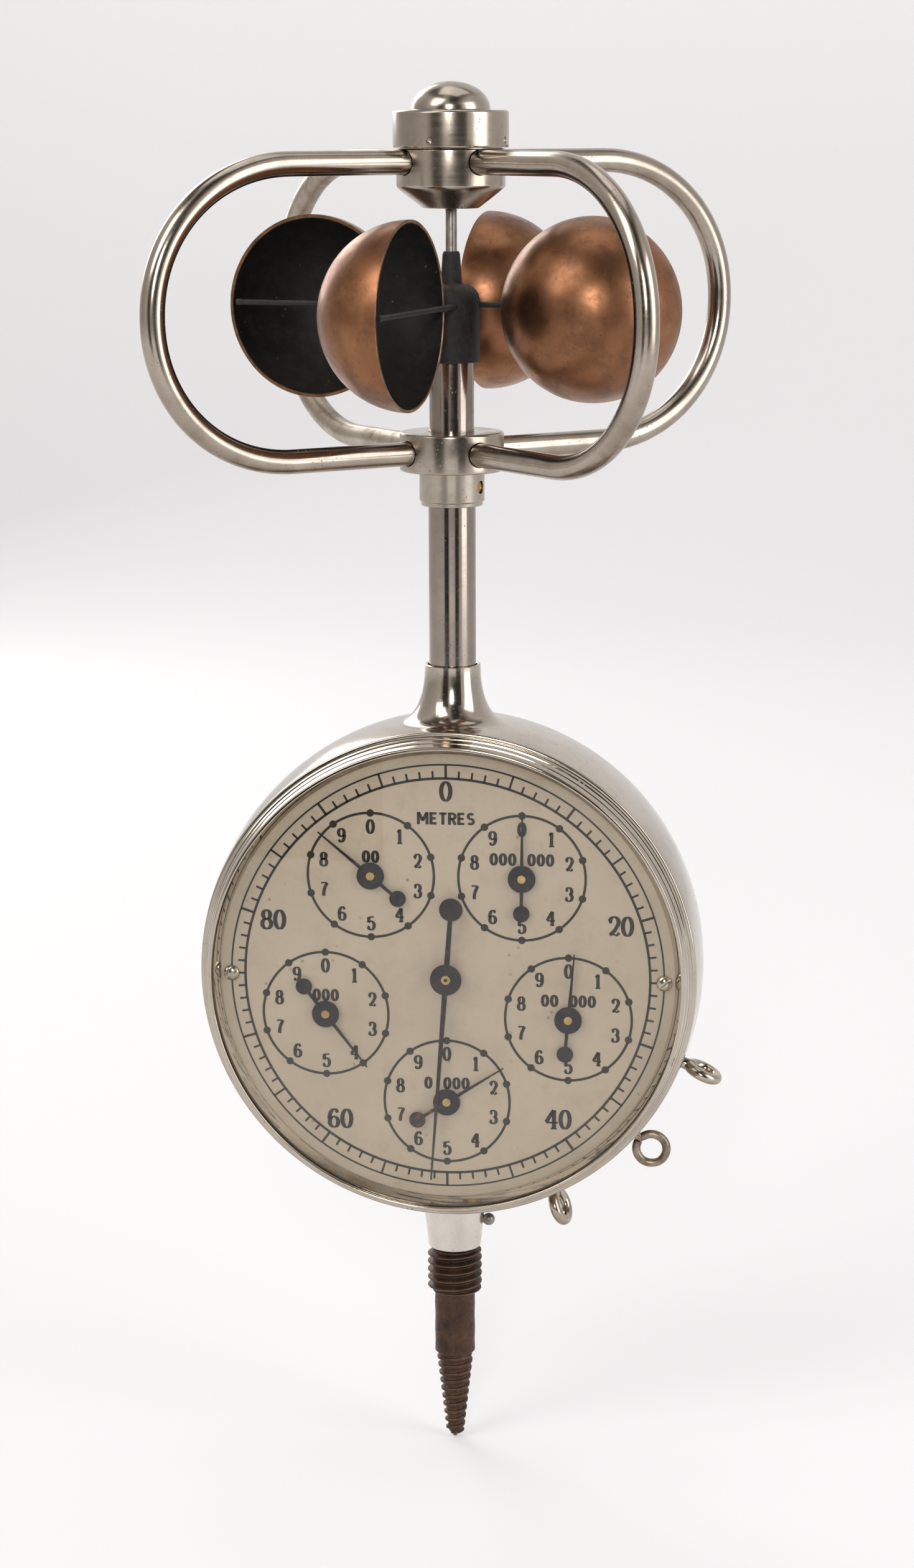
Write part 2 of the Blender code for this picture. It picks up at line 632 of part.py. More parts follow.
def build_plates():
    front_y = front_plate_y()
    front = lathe([(ARBOR_R + RUN, front_y), (DIAL_R, front_y), (DIAL_R, front_y + PLATE_THICK),
                   (ARBOR_R + RUN, front_y + PLATE_THICK)], FINE_TURN)
    front = publish("front_plate", front, BRASS, (0, 0, DIAL_Z), ALONG_Y)
    subs = list(sub_centres().values())
    drill_plate(front, "front_arbor_hole", subs, ARBOR_R + RUN, front_y)
    drill_plate(front, "front_idler_hole", idler_spots("front"), PIVOT_R + RUN, front_y)
    drill_plate(front, "front_screw_hole", [(-SCALE_R, 0), (SCALE_R, 0)], DIAL_SCREW_R + FINE, front_y)

    middle = lathe([(ARBOR_R + RUN, MID_PLATE_Y), (PLATE_R, MID_PLATE_Y),
                    (PLATE_R, MID_PLATE_Y + MID_PLATE_THICK),
                    (ARBOR_R + RUN, MID_PLATE_Y + MID_PLATE_THICK)], FINE_TURN)
    middle = publish("middle_plate", middle, BRASS, (0, 0, DIAL_Z), ALONG_Y)
    drill_plate(middle, "middle_arbor_hole", subs + idler_spots("middle") + [first_arbor()],
                PIVOT_R + RUN, MID_PLATE_Y)
    drill_plate(middle, "middle_pillar_hole", pillar_spots(), PILLAR_R + FINE, MID_PLATE_Y)

    back = lathe([(PIVOT_R + RUN, BACK_PLATE_Y), (PLATE_R, BACK_PLATE_Y),
                  (PLATE_R, BACK_PLATE_Y + PLATE_THICK), (PIVOT_R + RUN, BACK_PLATE_Y + PLATE_THICK)],
                 FINE_TURN)
    back = publish("back_plate", back, BRASS, (0, 0, DIAL_Z), ALONG_Y)
    drill_plate(back, "back_arbor_hole", [first_arbor()], PIVOT_R + RUN, BACK_PLATE_Y)
    drill_plate(back, "back_pillar_hole", pillar_spots(), PILLAR_NECK_R + FINE, BACK_PLATE_Y)

    stop = BACK_PLATE_Y - FINE
    neck_end = BACK_PLATE_Y + PLATE_THICK + 0.6 * MM
    for index, spot in enumerate(pillar_spots()):
        outline = [(0, front_y + 0.4 * MM), (PILLAR_R, front_y + 0.4 * MM), (PILLAR_R, stop),
                   (PILLAR_NECK_R, stop), (PILLAR_NECK_R, neck_end), (0, neck_end)]
        join(front, helper(f"pillar_{index + 1}", lathe(outline, SMALL_TURN),
                           (spot[0], 0, DIAL_Z + spot[1]), ALONG_Y))
    lever_front = LEVER_Y - LEVER_THICK / 2
    stud = [(0, lever_front - 0.9 * MM), (LEVER_STUD_HEAD_R, lever_front - 0.9 * MM),
            (LEVER_STUD_HEAD_R, lever_front - FINE), (LEVER_STUD_R, lever_front - FINE),
            (LEVER_STUD_R, BACK_PLATE_Y + 0.4 * MM), (0, BACK_PLATE_Y + 0.4 * MM)]
    join(back, helper("lever_stud", lathe(stud, SMALL_TURN), dial_place(LEVER_PIVOT), ALONG_Y))


def stage_list():
    """(from, to, plane, idler teeth) of each ten-to-one stage."""
    names = ["main"] + list(sub_centres())
    stages = []
    for index in range(5):
        plane = PLANE_A_Y if index % 2 == 0 else PLANE_B_Y
        teeth = FIRST_IDLER_TEETH if index == 0 else IDLER_TEETH
        stages.append((names[index], names[index + 1], plane, teeth))
    return stages


def arbor_spot(name):
    return (0.0, 0.0) if name == "main" else sub_centres()[name]


def idler_spot(source, target, teeth):
    reach = (PINION_TEETH + teeth) * MODULE / 2
    return tuple(toward(arbor_spot(source), arbor_spot(target), reach))


def idler_spots(plate_name):
    """Idlers pivot in the plate next to their own plane, since a wheel covers their other side."""
    wanted = PLANE_A_Y if plate_name == "front" else PLANE_B_Y
    return [idler_spot(source, target, teeth) for source, target, plane, teeth in stage_list()
            if plane == wanted]


def gear_blank(outline, y, thick):
    return plate(outline, y - thick / 2, y + thick / 2)


def build_counter():
    source_angle = {}
    for source, target, plane, teeth in stage_list():
        angle = heading(arbor_spot(source), arbor_spot(target))
        source_angle[source] = (angle, plane)
    front_end = SUB_HAND_Y - HAND_THICK
    for index, (source, target, plane, teeth) in enumerate(stage_list()):
        angle = heading(arbor_spot(source), arbor_spot(target))
        spot = arbor_spot(target)
        place = (spot[0], 0, DIAL_Z + spot[1])
        wheel = publish(f"wheel_{target}", gear_blank(gear_outline(WHEEL_TEETH, MODULE, angle + 180),
                        plane, WHEEL_THICK), BRASS, place)
        arbor = [(0, front_end), (ARBOR_R, front_end),
                 (ARBOR_R, MID_PLATE_Y - FINE), (PIVOT_R, MID_PLATE_Y - FINE),
                 (PIVOT_R, MID_PLATE_Y + MID_PLATE_THICK - 0.1 * MM),
                 (0, MID_PLATE_Y + MID_PLATE_THICK - 0.1 * MM)]
        join(wheel, helper(f"arbor_{target}", lathe(arbor, SMALL_TURN), place, ALONG_Y))
        if target in source_angle:
            out_angle, out_plane = source_angle[target]
            pinion = gear_outline(PINION_TEETH, MODULE, out_angle + 180 / PINION_TEETH, True)
            join(wheel, helper(f"pinion_{target}", gear_blank(pinion, out_plane, WHEEL_THICK), place))
        idler_at = idler_spot(source, target, teeth)
        idler_place = (idler_at[0], 0, DIAL_Z + idler_at[1])
        blank = gear_blank(gear_outline(teeth, MODULE, angle + 180), plane, WHEEL_THICK)
        idler = publish(f"idler_{index + 1}", blank, BRASS, idler_place)
        if plane == PLANE_A_Y:
            shoulder_y = front_plate_y() + PLATE_THICK + FINE
            end_y = front_plate_y() + 0.2 * MM
        else:
            shoulder_y = MID_PLATE_Y - FINE
            end_y = MID_PLATE_Y + MID_PLATE_THICK - 0.1 * MM
        stud = [(0, plane), (ARBOR_R, plane), (ARBOR_R, shoulder_y), (PIVOT_R, shoulder_y),
                (PIVOT_R, end_y), (0, end_y)]
        join(idler, helper(f"idler_stud_{index + 1}", lathe(stud, SMALL_TURN), idler_place, ALONG_Y))
    build_centre_wheel(source_angle["main"])
    build_worm_wheel()


def build_centre_wheel(out):
    out_angle, out_plane = out
    angle = heading((0, 0), first_arbor())
    blank = gear_blank(gear_outline(CENTRE_TEETH, CENTRE_MODULE, angle), PLANE_C_Y, WHEEL_THICK)
    wheel = publish("centre_wheel", blank, BRASS, (0, 0, DIAL_Z))
    front = MAIN_HAND_Y + HAND_THICK + FINE
    arbor = [(0, front), (ARBOR_R, front), (ARBOR_R, BACK_PLATE_Y - FINE), (PIVOT_R, BACK_PLATE_Y - FINE),
             (PIVOT_R, BACK_PLATE_Y + PLATE_THICK), (0, BACK_PLATE_Y + PLATE_THICK)]
    join(wheel, helper("centre_arbor", lathe(arbor, SMALL_TURN), (0, 0, DIAL_Z), ALONG_Y))
    pinion = gear_outline(PINION_TEETH, MODULE, out_angle + 180 / PINION_TEETH, True)
    join(wheel, helper("centre_pinion", gear_blank(pinion, out_plane, WHEEL_THICK), (0, 0, DIAL_Z)))


def build_worm_wheel():
    x, z = first_arbor()
    place = (x, 0, DIAL_Z + z)
    blank = gear_blank(gear_outline(WORM_WHEEL_TEETH, MODULE, 0), 0, 1.4 * MM)
    wheel = publish("worm_wheel", blank, BRASS, place)
    arbor = [(0, MID_PLATE_Y + 0.1 * MM), (PIVOT_R, MID_PLATE_Y + 0.1 * MM),
             (PIVOT_R, MID_PLATE_Y + MID_PLATE_THICK + FINE), (ARBOR_R, MID_PLATE_Y + MID_PLATE_THICK + FINE),
             (ARBOR_R, BACK_PLATE_Y - FINE), (PIVOT_R, BACK_PLATE_Y - FINE),
             (PIVOT_R, BACK_PLATE_Y + PLATE_THICK), (0, BACK_PLATE_Y + PLATE_THICK)]
    join(wheel, helper("worm_wheel_arbor", lathe(arbor, SMALL_TURN), place, ALONG_Y))
    angle = heading((x, z), (0, 0))
    pinion = gear_outline(PINION_TEETH, CENTRE_MODULE, angle + 180 / PINION_TEETH, True)
    join(wheel, helper("worm_wheel_pinion", gear_blank(pinion, PLANE_C_Y, WHEEL_THICK), place))


def hand_bm(pointer, tail, hub_r, weight_r, y, hub_y, thick):
    """A tapered pointer with a round hub and a round counterweight, pointing along +Z."""
    base = HAND_BASE_W / 2
    tip = HAND_TIP_W / 2
    outline = [(-base, -tail + 0.5 * weight_r), (base, -tail + 0.5 * weight_r), (base, 0),
               (tip, pointer), (-tip, pointer), (-base, 0)]
    blade = plate(outline, y, y + thick)
    discs = [(hub_r, 0.0), (weight_r, -tail)]
    proud = y - hub_y
    return blade, [plate(disc_outline(r, MID_TURN, (0.0, z)), hub_y, y + thick + proud)
                   for r, z in discs]


def build_hand(name, spot, rest, pointer, tail, hub_r, weight_r, y, bore_r):
    blade, discs = hand_bm(pointer, tail, hub_r, weight_r, y, y - 0.05 * MM, HAND_THICK)
    turn = Matrix.Rotation(math.radians(rest), 3, "Y")
    place = (spot[0], 0, DIAL_Z + spot[1])
    hand = publish(name, blade, BLUED, place, turn)
    for index, disc in enumerate(discs):
        join(hand, helper(f"{name}_disc_{index}", disc, place, turn))
    if bore_r:
        cut(hand, helper(f"{name}_bore", rod(bore_r, y - 1 * MM, y + 1 * MM, SMALL_TURN), place, ALONG_Y))
    return hand


def build_hands():
    build_hand("main_hand", (0, 0), MAIN_REST_CLOCK, MAIN_POINTER, MAIN_TAIL, MAIN_HUB_R, MAIN_WEIGHT_R,
               MAIN_HAND_Y, 0)
    for name, spot in sub_centres().items():
        build_hand(f"hand_{name}", spot, SUB_REST[name], SUB_POINTER, SUB_TAIL, SUB_HUB_R, SUB_WEIGHT_R,
                   SUB_HAND_Y, ARBOR_R + FINE)


# ---------------------------------------------------------------- clutch and lever

def worm_bm(start_z):
    """A right-handed single-start worm; its crest faces the worm wheel's gap at mid length."""
    turn = WORM_TURN
    pitch = math.pi * MODULE
    root_r = WORM_PITCH_R - 1.0 * MODULE
    tip_r = WORM_PITCH_R + 0.6 * MODULE
    bore = SPINDLE_TAIL_R + RUN
    rows_per_turn = turn
    turns = int((WORM_LENGTH - pitch) / pitch)
    sunk_r = root_r - 0.15 * MM
    profile = [(sunk_r, 0.0), (tip_r, 0.36 * pitch), (tip_r, 0.5 * pitch), (sunk_r, 0.86 * pitch)]
    thread = bmesh.new()
    rings = []
    low = start_z - pitch * turns / 2 - 0.43 * pitch
    for step in range(turns * rows_per_turn + 1):
        angle = 2 * math.pi * step / rows_per_turn + math.pi * (1 - turns)
        rise = pitch * step / rows_per_turn
        rings.append([thread.verts.new((r * math.cos(angle), r * math.sin(angle), low + rise + z))
                      for r, z in profile])
    for here, there in zip(rings, rings[1:]):
        bridge(thread, here, there)
    thread.faces.new(rings[0])
    thread.faces.new(list(reversed(rings[-1])))
    body = tube(root_r, bore, start_z - WORM_LENGTH / 2, start_z + WORM_LENGTH / 2 + 1.0 * MM, turn)
    return body, thread


def dog_bm(inner, outer, low, high, phase):
    """Two opposite teeth, each a sixth of a turn wide."""
    teeth = []
    for side in (0, 180):
        bm = bmesh.new()
        corners = []
        for share in (-30, -10, 10, 30):
            angle = math.radians(phase + side + share)
            corners.append((math.cos(angle), math.sin(angle)))
        for height in (low, high):
            for radius in (inner, outer):
                for c, s in corners:
                    bm.verts.new((radius * c, radius * s, height))
        bm.verts.ensure_lookup_table()
        bmesh.ops.convex_hull(bm, input=bm.verts)
        loose = [v for v in bm.verts if not v.link_faces]
        bmesh.ops.delete(bm, geom=loose, context="VERTS")
        teeth.append(bm)
    return teeth


def worm_z():
    return DIAL_Z + first_arbor()[1]


def build_clutch():
    z = worm_z()
    body, thread = worm_bm(0.0)
    worm = publish("worm_quill", body, STEEL, (0, 0, z))
    join(worm, helper("worm_thread", thread, (0, 0, z)))
    top = WORM_LENGTH / 2 + 1.0 * MM
    bore = SPINDLE_TAIL_R + RUN
    join(worm, helper("worm_flange", tube(2.4 * MM, bore, top - 0.9 * MM, top, SMALL_TURN), (0, 0, z)))
    for index, tooth in enumerate(dog_bm(bore + 0.25 * MM, 2.3 * MM, top - 0.2 * MM, top + DOG_LENGTH, 0)):
        join(worm, helper(f"worm_dog_{index}", tooth, (0, 0, z)))

    half = SLEEVE_GROOVE / 2
    flange_top = half + 0.9 * MM
    face = z + top + DOG_LENGTH + 1.2 * MM - SLEEVE_Z
    outline = [(bore, face), (2.4 * MM, face), (2.4 * MM, -half - 0.7 * MM),
               (SLEEVE_FLANGE_R, -half - 0.7 * MM),
               (SLEEVE_FLANGE_R, -half), (SLEEVE_GROOVE_R, -half),
               (SLEEVE_GROOVE_R, half), (SLEEVE_FLANGE_R, half),
               (SLEEVE_FLANGE_R, flange_top), (bore, flange_top)]
    sleeve = publish("clutch_sleeve", lathe(outline, SMALL_TURN), STEEL, (0, 0, SLEEVE_Z))
    for index, tooth in enumerate(dog_bm(bore + 0.25 * MM, 2.3 * MM, face - DOG_LENGTH, face + 0.2 * MM, 90)):
        join(sleeve, helper(f"sleeve_dog_{index}", tooth, (0, 0, SLEEVE_Z)))


def strip_outline(points, width):
    """A strip of even width along a polyline, with square ends."""
    left = []
    right = []
    count = len(points)
    for step in range(count):
        here = Vector(points[step])
        before = Vector(points[max(step - 1, 0)])
        after = Vector(points[min(step + 1, count - 1)])
        direction = (after - before).normalized()
        side = Vector((-direction.y, direction.x)) * width / 2
        left.append(tuple(here + side))
        right.append(tuple(here - side))
    return left + list(reversed(right))


def build_lever():
    pivot = Vector(LEVER_PIVOT)
    eye = Vector(clock(LEVER_EYE_CLOCK, LEVER_EYE_RING))
    line = (eye - pivot).normalized()
    place = dial_place(pivot)
    front = LEVER_Y - LEVER_THICK / 2
    back = LEVER_Y + LEVER_THICK / 2
    through_front = front - 1 * MM
    through_back = back + 1 * MM
    plate_end = pivot + line * (pivot.length + 34 * MM)
    arm = strip_outline([Vector((0, 0)), plate_end - pivot], LEVER_W)
    lever = publish("start_stop_lever", plate(arm, front, back), STEEL, place)
    join(lever, helper("lever_boss", plate(disc_outline(3.0 * MM, 16), front, back), place))
    window_r = ARBOR_R + pivot.length * math.radians(LEVER_SWING) + 2 * GAP
    eyelet = plate(disc_outline(window_r + 1.6 * MM, 20, -pivot), front, back)
    join(lever, helper("lever_eyelet", eyelet, place))
    pin_at = Vector((0, SLEEVE_Z - DIAL_Z)) - pivot
    branch = strip_outline([-pivot * 0.3, pin_at + Vector((-5.0 * MM, -2.0 * MM)),
                            pin_at + Vector((1.2 * MM, 0.5 * MM))], 2.2 * MM)
    join(lever, helper("lever_branch", plate(branch, front, back), place))
    cut(lever, helper("lever_window", plate(disc_outline(window_r, 16, -pivot), through_front,
                                            through_back), place))
    cut(lever, helper("lever_bore", plate(disc_outline(LEVER_STUD_R + FINE, SMALL_TURN), through_front,
                                          through_back), place))
    pin = rod(LEVER_PIN_R, SLEEVE_GROOVE_R + GAP, LEVER_Y, SMALL_TURN)
    join(lever, helper("lever_pin", pin, (0, 0, SLEEVE_Z), ALONG_Y))
    rod_start = plate_end - line * 4 * MM
    rod_end = eye - line * (EYE_R - LEVER_ROD_R)
    route = [Vector((p.x - pivot.x, LEVER_Y, p.y - pivot.y)) for p in (rod_start, rod_end)]
    join(lever, helper("lever_rod", sweep(route, LEVER_ROD_R, 8), place))
    wire = (EYE_R - EYE_HOLE_R) / 2
    ring = ring_torus(EYE_R - wire, wire, 16, 8)
    join(lever, helper("lever_eye", ring, dial_place(eye, LEVER_Y), ALONG_Y))


def build_guides():
    for which in GUIDE_CLOCKS:
        seat = guide_seat(which)
        outward = (seat - Vector((0, LEVER_Y, DIAL_Z))).normalized()
        tangent = Vector((0, 1, 0)).cross(outward)
        tangent = Matrix.Rotation(math.radians(GUIDE_TWIST[which]), 3, outward) @ tangent
        ring = ring_torus(GUIDE_EYE_R - GUIDE_WIRE_R, GUIDE_WIRE_R, 16, 8)
        guide = publish(f"guide_eye_{which}", ring, NICKEL, seat, along(tangent))
        shank_end = CASE_R - CASE_WALL - 0.6 * MM - GUIDE_RINGS[which]
        shank = rod(GUIDE_WIRE_R, shank_end, -GUIDE_EYE_R + GUIDE_WIRE_R, 8)
        join(guide, helper(f"guide_shank_{which}", shank, seat, along(outward)))


def build_foot_bearing():
    """A cock on the middle plate that carries the spindle's foot, clear of the centre wheel."""
    top = SPINDLE_FOOT - 0.3 * MM
    arm = [(-FOOT_HALF, top), (FOOT_HALF, top), (8.0 * MM, 16.0 * MM), (11.8 * MM, 15.4 * MM),
           (11.6 * MM, 12.0 * MM), (FOOT_HALF + 1.6 * MM, top - FOOT_DEPTH), (-FOOT_HALF, top - FOOT_DEPTH)]
    place = dial_place((0, 0))
    cock = publish("foot_bearing", plate(arm, -FOOT_THICK / 2, FOOT_THICK / 2), BRASS, place)
    post = rod(1.5 * MM, MID_PLATE_Y + MID_PLATE_THICK + FINE, 0.0, SMALL_TURN)
    join(cock, helper("foot_post", post, dial_place((9.9 * MM, 13.9 * MM)), ALONG_Y))
    cup = rod(FOOT_PIN_R + FINE, SPINDLE_FOOT - 2.0 * MM, SPINDLE_FOOT + 1 * MM, SMALL_TURN)
    cut(cock, helper("foot_cup", cup, place))


# ---------------------------------------------------------------- spindle and rotor

def build_spindle():
    foot = DIAL_Z + SPINDLE_FOOT
    tip = HUB_TOP_Z - 1.6 * MM
    outline = [(0, foot - 1.7 * MM), (FOOT_PIN_R, foot - 1.3 * MM), (FOOT_PIN_R, foot),
               (SPINDLE_TAIL_R, foot + 0.3 * MM), (SPINDLE_TAIL_R, SPINDLE_STEP_Z),
               (SPINDLE_R, SPINDLE_STEP_Z), (SPINDLE_R, tip - 1.2 * MM), (0.35 * MM, tip), (0, tip)]
    publish("spindle", lathe(outline, SMALL_TURN), STEEL)


def mouth_azimuth(index):
    """Direction in which a cup's arm runs, in the plane of the cup's mouth."""
    return CUP_AZIMUTH + CUP_TOE + 90 * index


def build_rotor():
    hole = SPINDLE_R + FINE
    outline = [(ROTOR_BORE_R, ROTOR_SKIRT_Z), (ROTOR_R, ROTOR_SKIRT_Z),
               (ROTOR_R, ROTOR_SHOULDER_Z - 1.9 * MM),
               (ROTOR_R - 0.5 * MM, ROTOR_SHOULDER_Z - 0.6 * MM), (ROTOR_R - 1.6 * MM, ROTOR_SHOULDER_Z),
               (SLEEVE_LOW_R, ROTOR_SHOULDER_Z), (SLEEVE_TOP_R, ROTOR_TOP_Z - 0.4 * MM),
               (SLEEVE_TOP_R - 0.2 * MM, ROTOR_TOP_Z), (hole, ROTOR_TOP_Z), (hole, ROTOR_CEILING_Z),
               (ROTOR_BORE_R, ROTOR_CEILING_Z)]
    hub = publish("rotor_hub", lathe(outline, MID_TURN), BLACK)
    for index in range(4):
        build_arm(hub, index)
        build_cup(index)


def build_arm(hub, index):
    """Each arm passes beside the spindle and ends inside the far rim of its own cup."""
    along_arm = polar(1.0, mouth_azimuth(index))
    start = polar(ARM_OFFSET, mouth_azimuth(index) + 90, ARM_Z)
    centre_s = polar(CUP_ARM, CUP_AZIMUTH + 90 * index).dot(along_arm)
    end = centre_s + CUP_R - CUP_WALL - 2 * GAP
    arm = rod(ARM_R, 0, end, 8)
    publish(f"cup_arm_{index + 1}", arm, BLACK, start, along(along_arm))
    bore = rod(ARM_R + FINE, -GAP, 8 * MM, 8)
    cut(hub, helper(f"arm_hole_{index + 1}", bore, start, along(along_arm)))


def build_cup(index):
    azimuth = CUP_AZIMUTH + 90 * index
    rows = 6
    outline = []
    for row in range(rows + 1):
        angle = math.pi / 2 * row / rows
        outline.append((CUP_R * math.sin(angle), -CUP_DEPTH * CUP_R * math.cos(angle)))
    inner = CUP_R - CUP_WALL
    for row in range(rows, -1, -1):
        angle = math.pi / 2 * row / rows
        outline.append((inner * math.sin(angle), -(CUP_DEPTH * CUP_R - CUP_WALL) * math.cos(angle)))
    outline[0] = (0.0, outline[0][1])
    outline[-1] = (0.0, outline[-1][1])
    along_arm = polar(1.0, mouth_azimuth(index))
    mouth = polar(1.0, mouth_azimuth(index) + 90)
    place = polar(CUP_ARM, azimuth, CUP_Z)
    cup = publish(f"cup_{index + 1}", lathe(outline, MID_TURN), COPPER, place, along(mouth))
    start = polar(ARM_OFFSET, mouth_azimuth(index) + 90, ARM_Z)
    notch = rod(ARM_R + FINE, 2 * MM, place.dot(along_arm), 8)
    cut(cup, helper(f"cup_notch_{index + 1}", notch, start, along(along_arm)))


# ---------------------------------------------------------------- stem, collar, hub, bows

def bow_path():
    """(reach, height) points: a straight, a wide C and a straight back."""
    middle = (UPPER_ROD_Z + LOWER_ROD_Z) / 2
    rise = (UPPER_ROD_Z - LOWER_ROD_Z) / 2
    points = [(ROD_SEAT_R, UPPER_ROD_Z)]
    steps = 14
    for step in range(steps + 1):
        angle = math.pi / 2 - math.pi * step / steps
        points.append((BOW_REACH - BOW_CURVE + BOW_CURVE * math.cos(angle), middle + rise * math.sin(angle)))
    points.append((ROD_SEAT_R, LOWER_ROD_Z))
    return points


def build_bows(hub, collar):
    for index in range(4):
        azimuth = BOW_AZIMUTH + 90 * index
        path = [polar(reach, azimuth, height) for reach, height in bow_path()]
        publish(f"guard_bow_{index + 1}", sweep(path, ROD_R, 10), NICKEL)
        outward = polar(1.0, azimuth)
        for target, height, key in ((hub, UPPER_ROD_Z, "upper"), (collar, LOWER_ROD_Z, "lower")):
            seat = rod(ROD_R + FINE, ROD_SEAT_R - GAP, CAP_R + 3 * MM, MID_TURN)
            cut(target, helper(f"{key}_rod_hole_{index + 1}", seat, (0, 0, height), along(outward)))


def build_stem():
    seat = DIAL_Z + CASE_R + GAP
    step_z = COLLAR_Z + 1.2 * MM
    outline = [(STEM_BORE_R, seat), (STEM_R, seat), (STEM_R, step_z), (UPPER_TUBE_R, step_z),
               (UPPER_TUBE_R, TUBE_TOP_Z), (STEM_BORE_R, TUBE_TOP_Z)]
    publish("stem_tube", lathe(outline, MID_TURN), NICKEL)
    bush = lathe([(SPINDLE_R + RUN, TUBE_TOP_Z - 6 * MM), (STEM_BORE_R - FINE, TUBE_TOP_Z - 6 * MM),
                  (STEM_BORE_R - FINE, TUBE_TOP_Z + FINE), (SPINDLE_R + RUN, TUBE_TOP_Z + FINE)], SMALL_TURN)
    publish("stem_bush", bush, BRASS)

    low_bore = STEM_R + FINE
    high_bore = UPPER_TUBE_R + FINE
    shoulder = step_z + GAP
    outline = [(low_bore, COLLAR_NECK_Z), (COLLAR_NECK_R, COLLAR_NECK_Z), (COLLAR_NECK_R, COLLAR_Z),
               (COLLAR_R - 0.4 * MM, COLLAR_Z), (COLLAR_R, COLLAR_Z + 0.4 * MM),
               (COLLAR_R, COLLAR_TOP_Z - 0.4 * MM), (COLLAR_R - 0.4 * MM, COLLAR_TOP_Z),
               (high_bore, COLLAR_TOP_Z), (high_bore, shoulder), (low_bore, shoulder)]
    collar = publish("lower_collar", lathe(outline, MID_TURN), NICKEL)
    screw_z = COLLAR_NECK_Z + 3.3 * MM
    outward = polar(1.0, -22.0)
    hole = rod(GRUB_R + FINE, STEM_R - 0.5 * MM, COLLAR_NECK_R + 1.4 * MM, SMALL_TURN)
    cut(collar, helper("set_screw_hole", hole, (0, 0, screw_z), along(outward)))
    grub = rod(GRUB_R, STEM_R + FINE, COLLAR_NECK_R - 0.3 * MM, SMALL_TURN)
    publish("collar_set_screw", grub, BRASS, (0, 0, screw_z), along(outward))
    return collar


def build_hub():
    bore = 2.0 * MM
    outline = [(bore, CONE_Z), (CONE_END_R, CONE_Z), (HUB_R - 0.9 * MM, HUB_Z - 0.3 * MM), (HUB_R, HUB_Z),
               (HUB_R, CAP_SKIRT_Z - GAP), (HUB_R - 0.6 * MM, CAP_SKIRT_Z), (HUB_R - 0.6 * MM, HUB_TOP_Z),
               (bore, HUB_TOP_Z)]
    hub = publish("upper_hub", lathe(outline, MID_TURN), NICKEL)
    bush = lathe([(0, HUB_TOP_Z - 0.3 * MM), (bore - FINE, HUB_TOP_Z - 0.3 * MM),
                  (bore - FINE, CONE_Z + 0.4 * MM),
                  (SPINDLE_R + RUN, CONE_Z + 0.4 * MM), (SPINDLE_R + RUN, HUB_TOP_Z - 1.4 * MM),
                  (0, HUB_TOP_Z - 1.4 * MM)], SMALL_TURN)
    publish("top_pivot_bush", bush, BRASS)
    inner = HUB_R - 0.6 * MM + FINE
    shoulder = CAP_TOP_Z
    outline = [(inner, CAP_SKIRT_Z), (CAP_R - 0.15 * MM, CAP_SKIRT_Z), (CAP_R, CAP_SKIRT_Z + 0.3 * MM),
               (CAP_R, shoulder - 0.5 * MM), (CAP_R - 0.5 * MM, shoulder), (DOME_R + 0.3 * MM, shoulder)]
    rise = DOME_TOP_Z - shoulder
    for step in range(6):
        angle = math.pi / 2 * step / 5
        outline.append((DOME_R * math.cos(angle), shoulder + rise * math.sin(angle)))
    outline[-1] = (0.0, DOME_TOP_Z)
    outline += [(0, HUB_TOP_Z + GAP), (inner, HUB_TOP_Z + GAP)]
    cap = publish("top_cap", lathe(outline, MID_TURN), NICKEL)
    for index, azimuth in enumerate((-105, -15, 75, 165)):
        dimple_at = polar(CAP_R + 0.15 * MM, azimuth, CAP_SKIRT_Z + 1.2 * MM)
        cut(cap, helper(f"cap_dimple_{index}", ball(0.6 * MM, 8), dimple_at))
    return hub


# ---------------------------------------------------------------- socket and post

def build_socket():
    tenon_r = SOCKET_BORE_R + TENON_WALL
    top = DIAL_Z - (CASE_R - CASE_WALL)
    outline = [(SOCKET_BORE_R, 0), (SOCKET_LOW_R, 0), (SOCKET_TOP_R, SOCKET_TOP_Z),
               (SOCKET_TOP_R, SOCKET_TOP_Z + 1 * MM), (SOCKET_BORE_R, SOCKET_TOP_Z + 1 * MM)]
    socket = publish("lower_socket", lathe(outline, MID_TURN), SATIN)
    near = 5 * MM
    far = 14 * MM
    saddle = lathe([(0, -far), (band_radius(far) + GAP, -far), (band_radius(near) + GAP, -near),
                    (band_radius(near) + GAP, near), (band_radius(far) + GAP, far), (0, far)], SADDLE_TURN)
    cut(socket, helper("case_saddle", saddle, (0, 0, DIAL_Z), ALONG_Y))
    tenon = tube(tenon_r, SOCKET_BORE_R, SOCKET_HEIGHT - 3.9 * MM, top + 1.6 * MM, MID_TURN)
    join(socket, helper("socket_tenon", tenon))
    seat = ball(LOCK_BALL_R + FINE, 16)
    cut(socket, helper("lock_seat", seat, (LOCK_BALL_X, 0, LOCK_SCREW_Z)))
    shank_hole = rod(0.7 * MM + FINE, 1 * MM, 8 * MM, 8)
    cut(socket, helper("lock_hole", shank_hole, (0, 0, LOCK_SCREW_Z), along((1, 0, 0))))
    screw = publish("socket_lock_screw", ball(LOCK_BALL_R, 12), STEEL, (LOCK_BALL_X, 0, LOCK_SCREW_Z))
    shank = rod(0.7 * MM, TENON_R + FINE, LOCK_BALL_X, 8)
    join(screw, helper("lock_shank", shank, (0, 0, LOCK_SCREW_Z), along((1, 0, 0))))


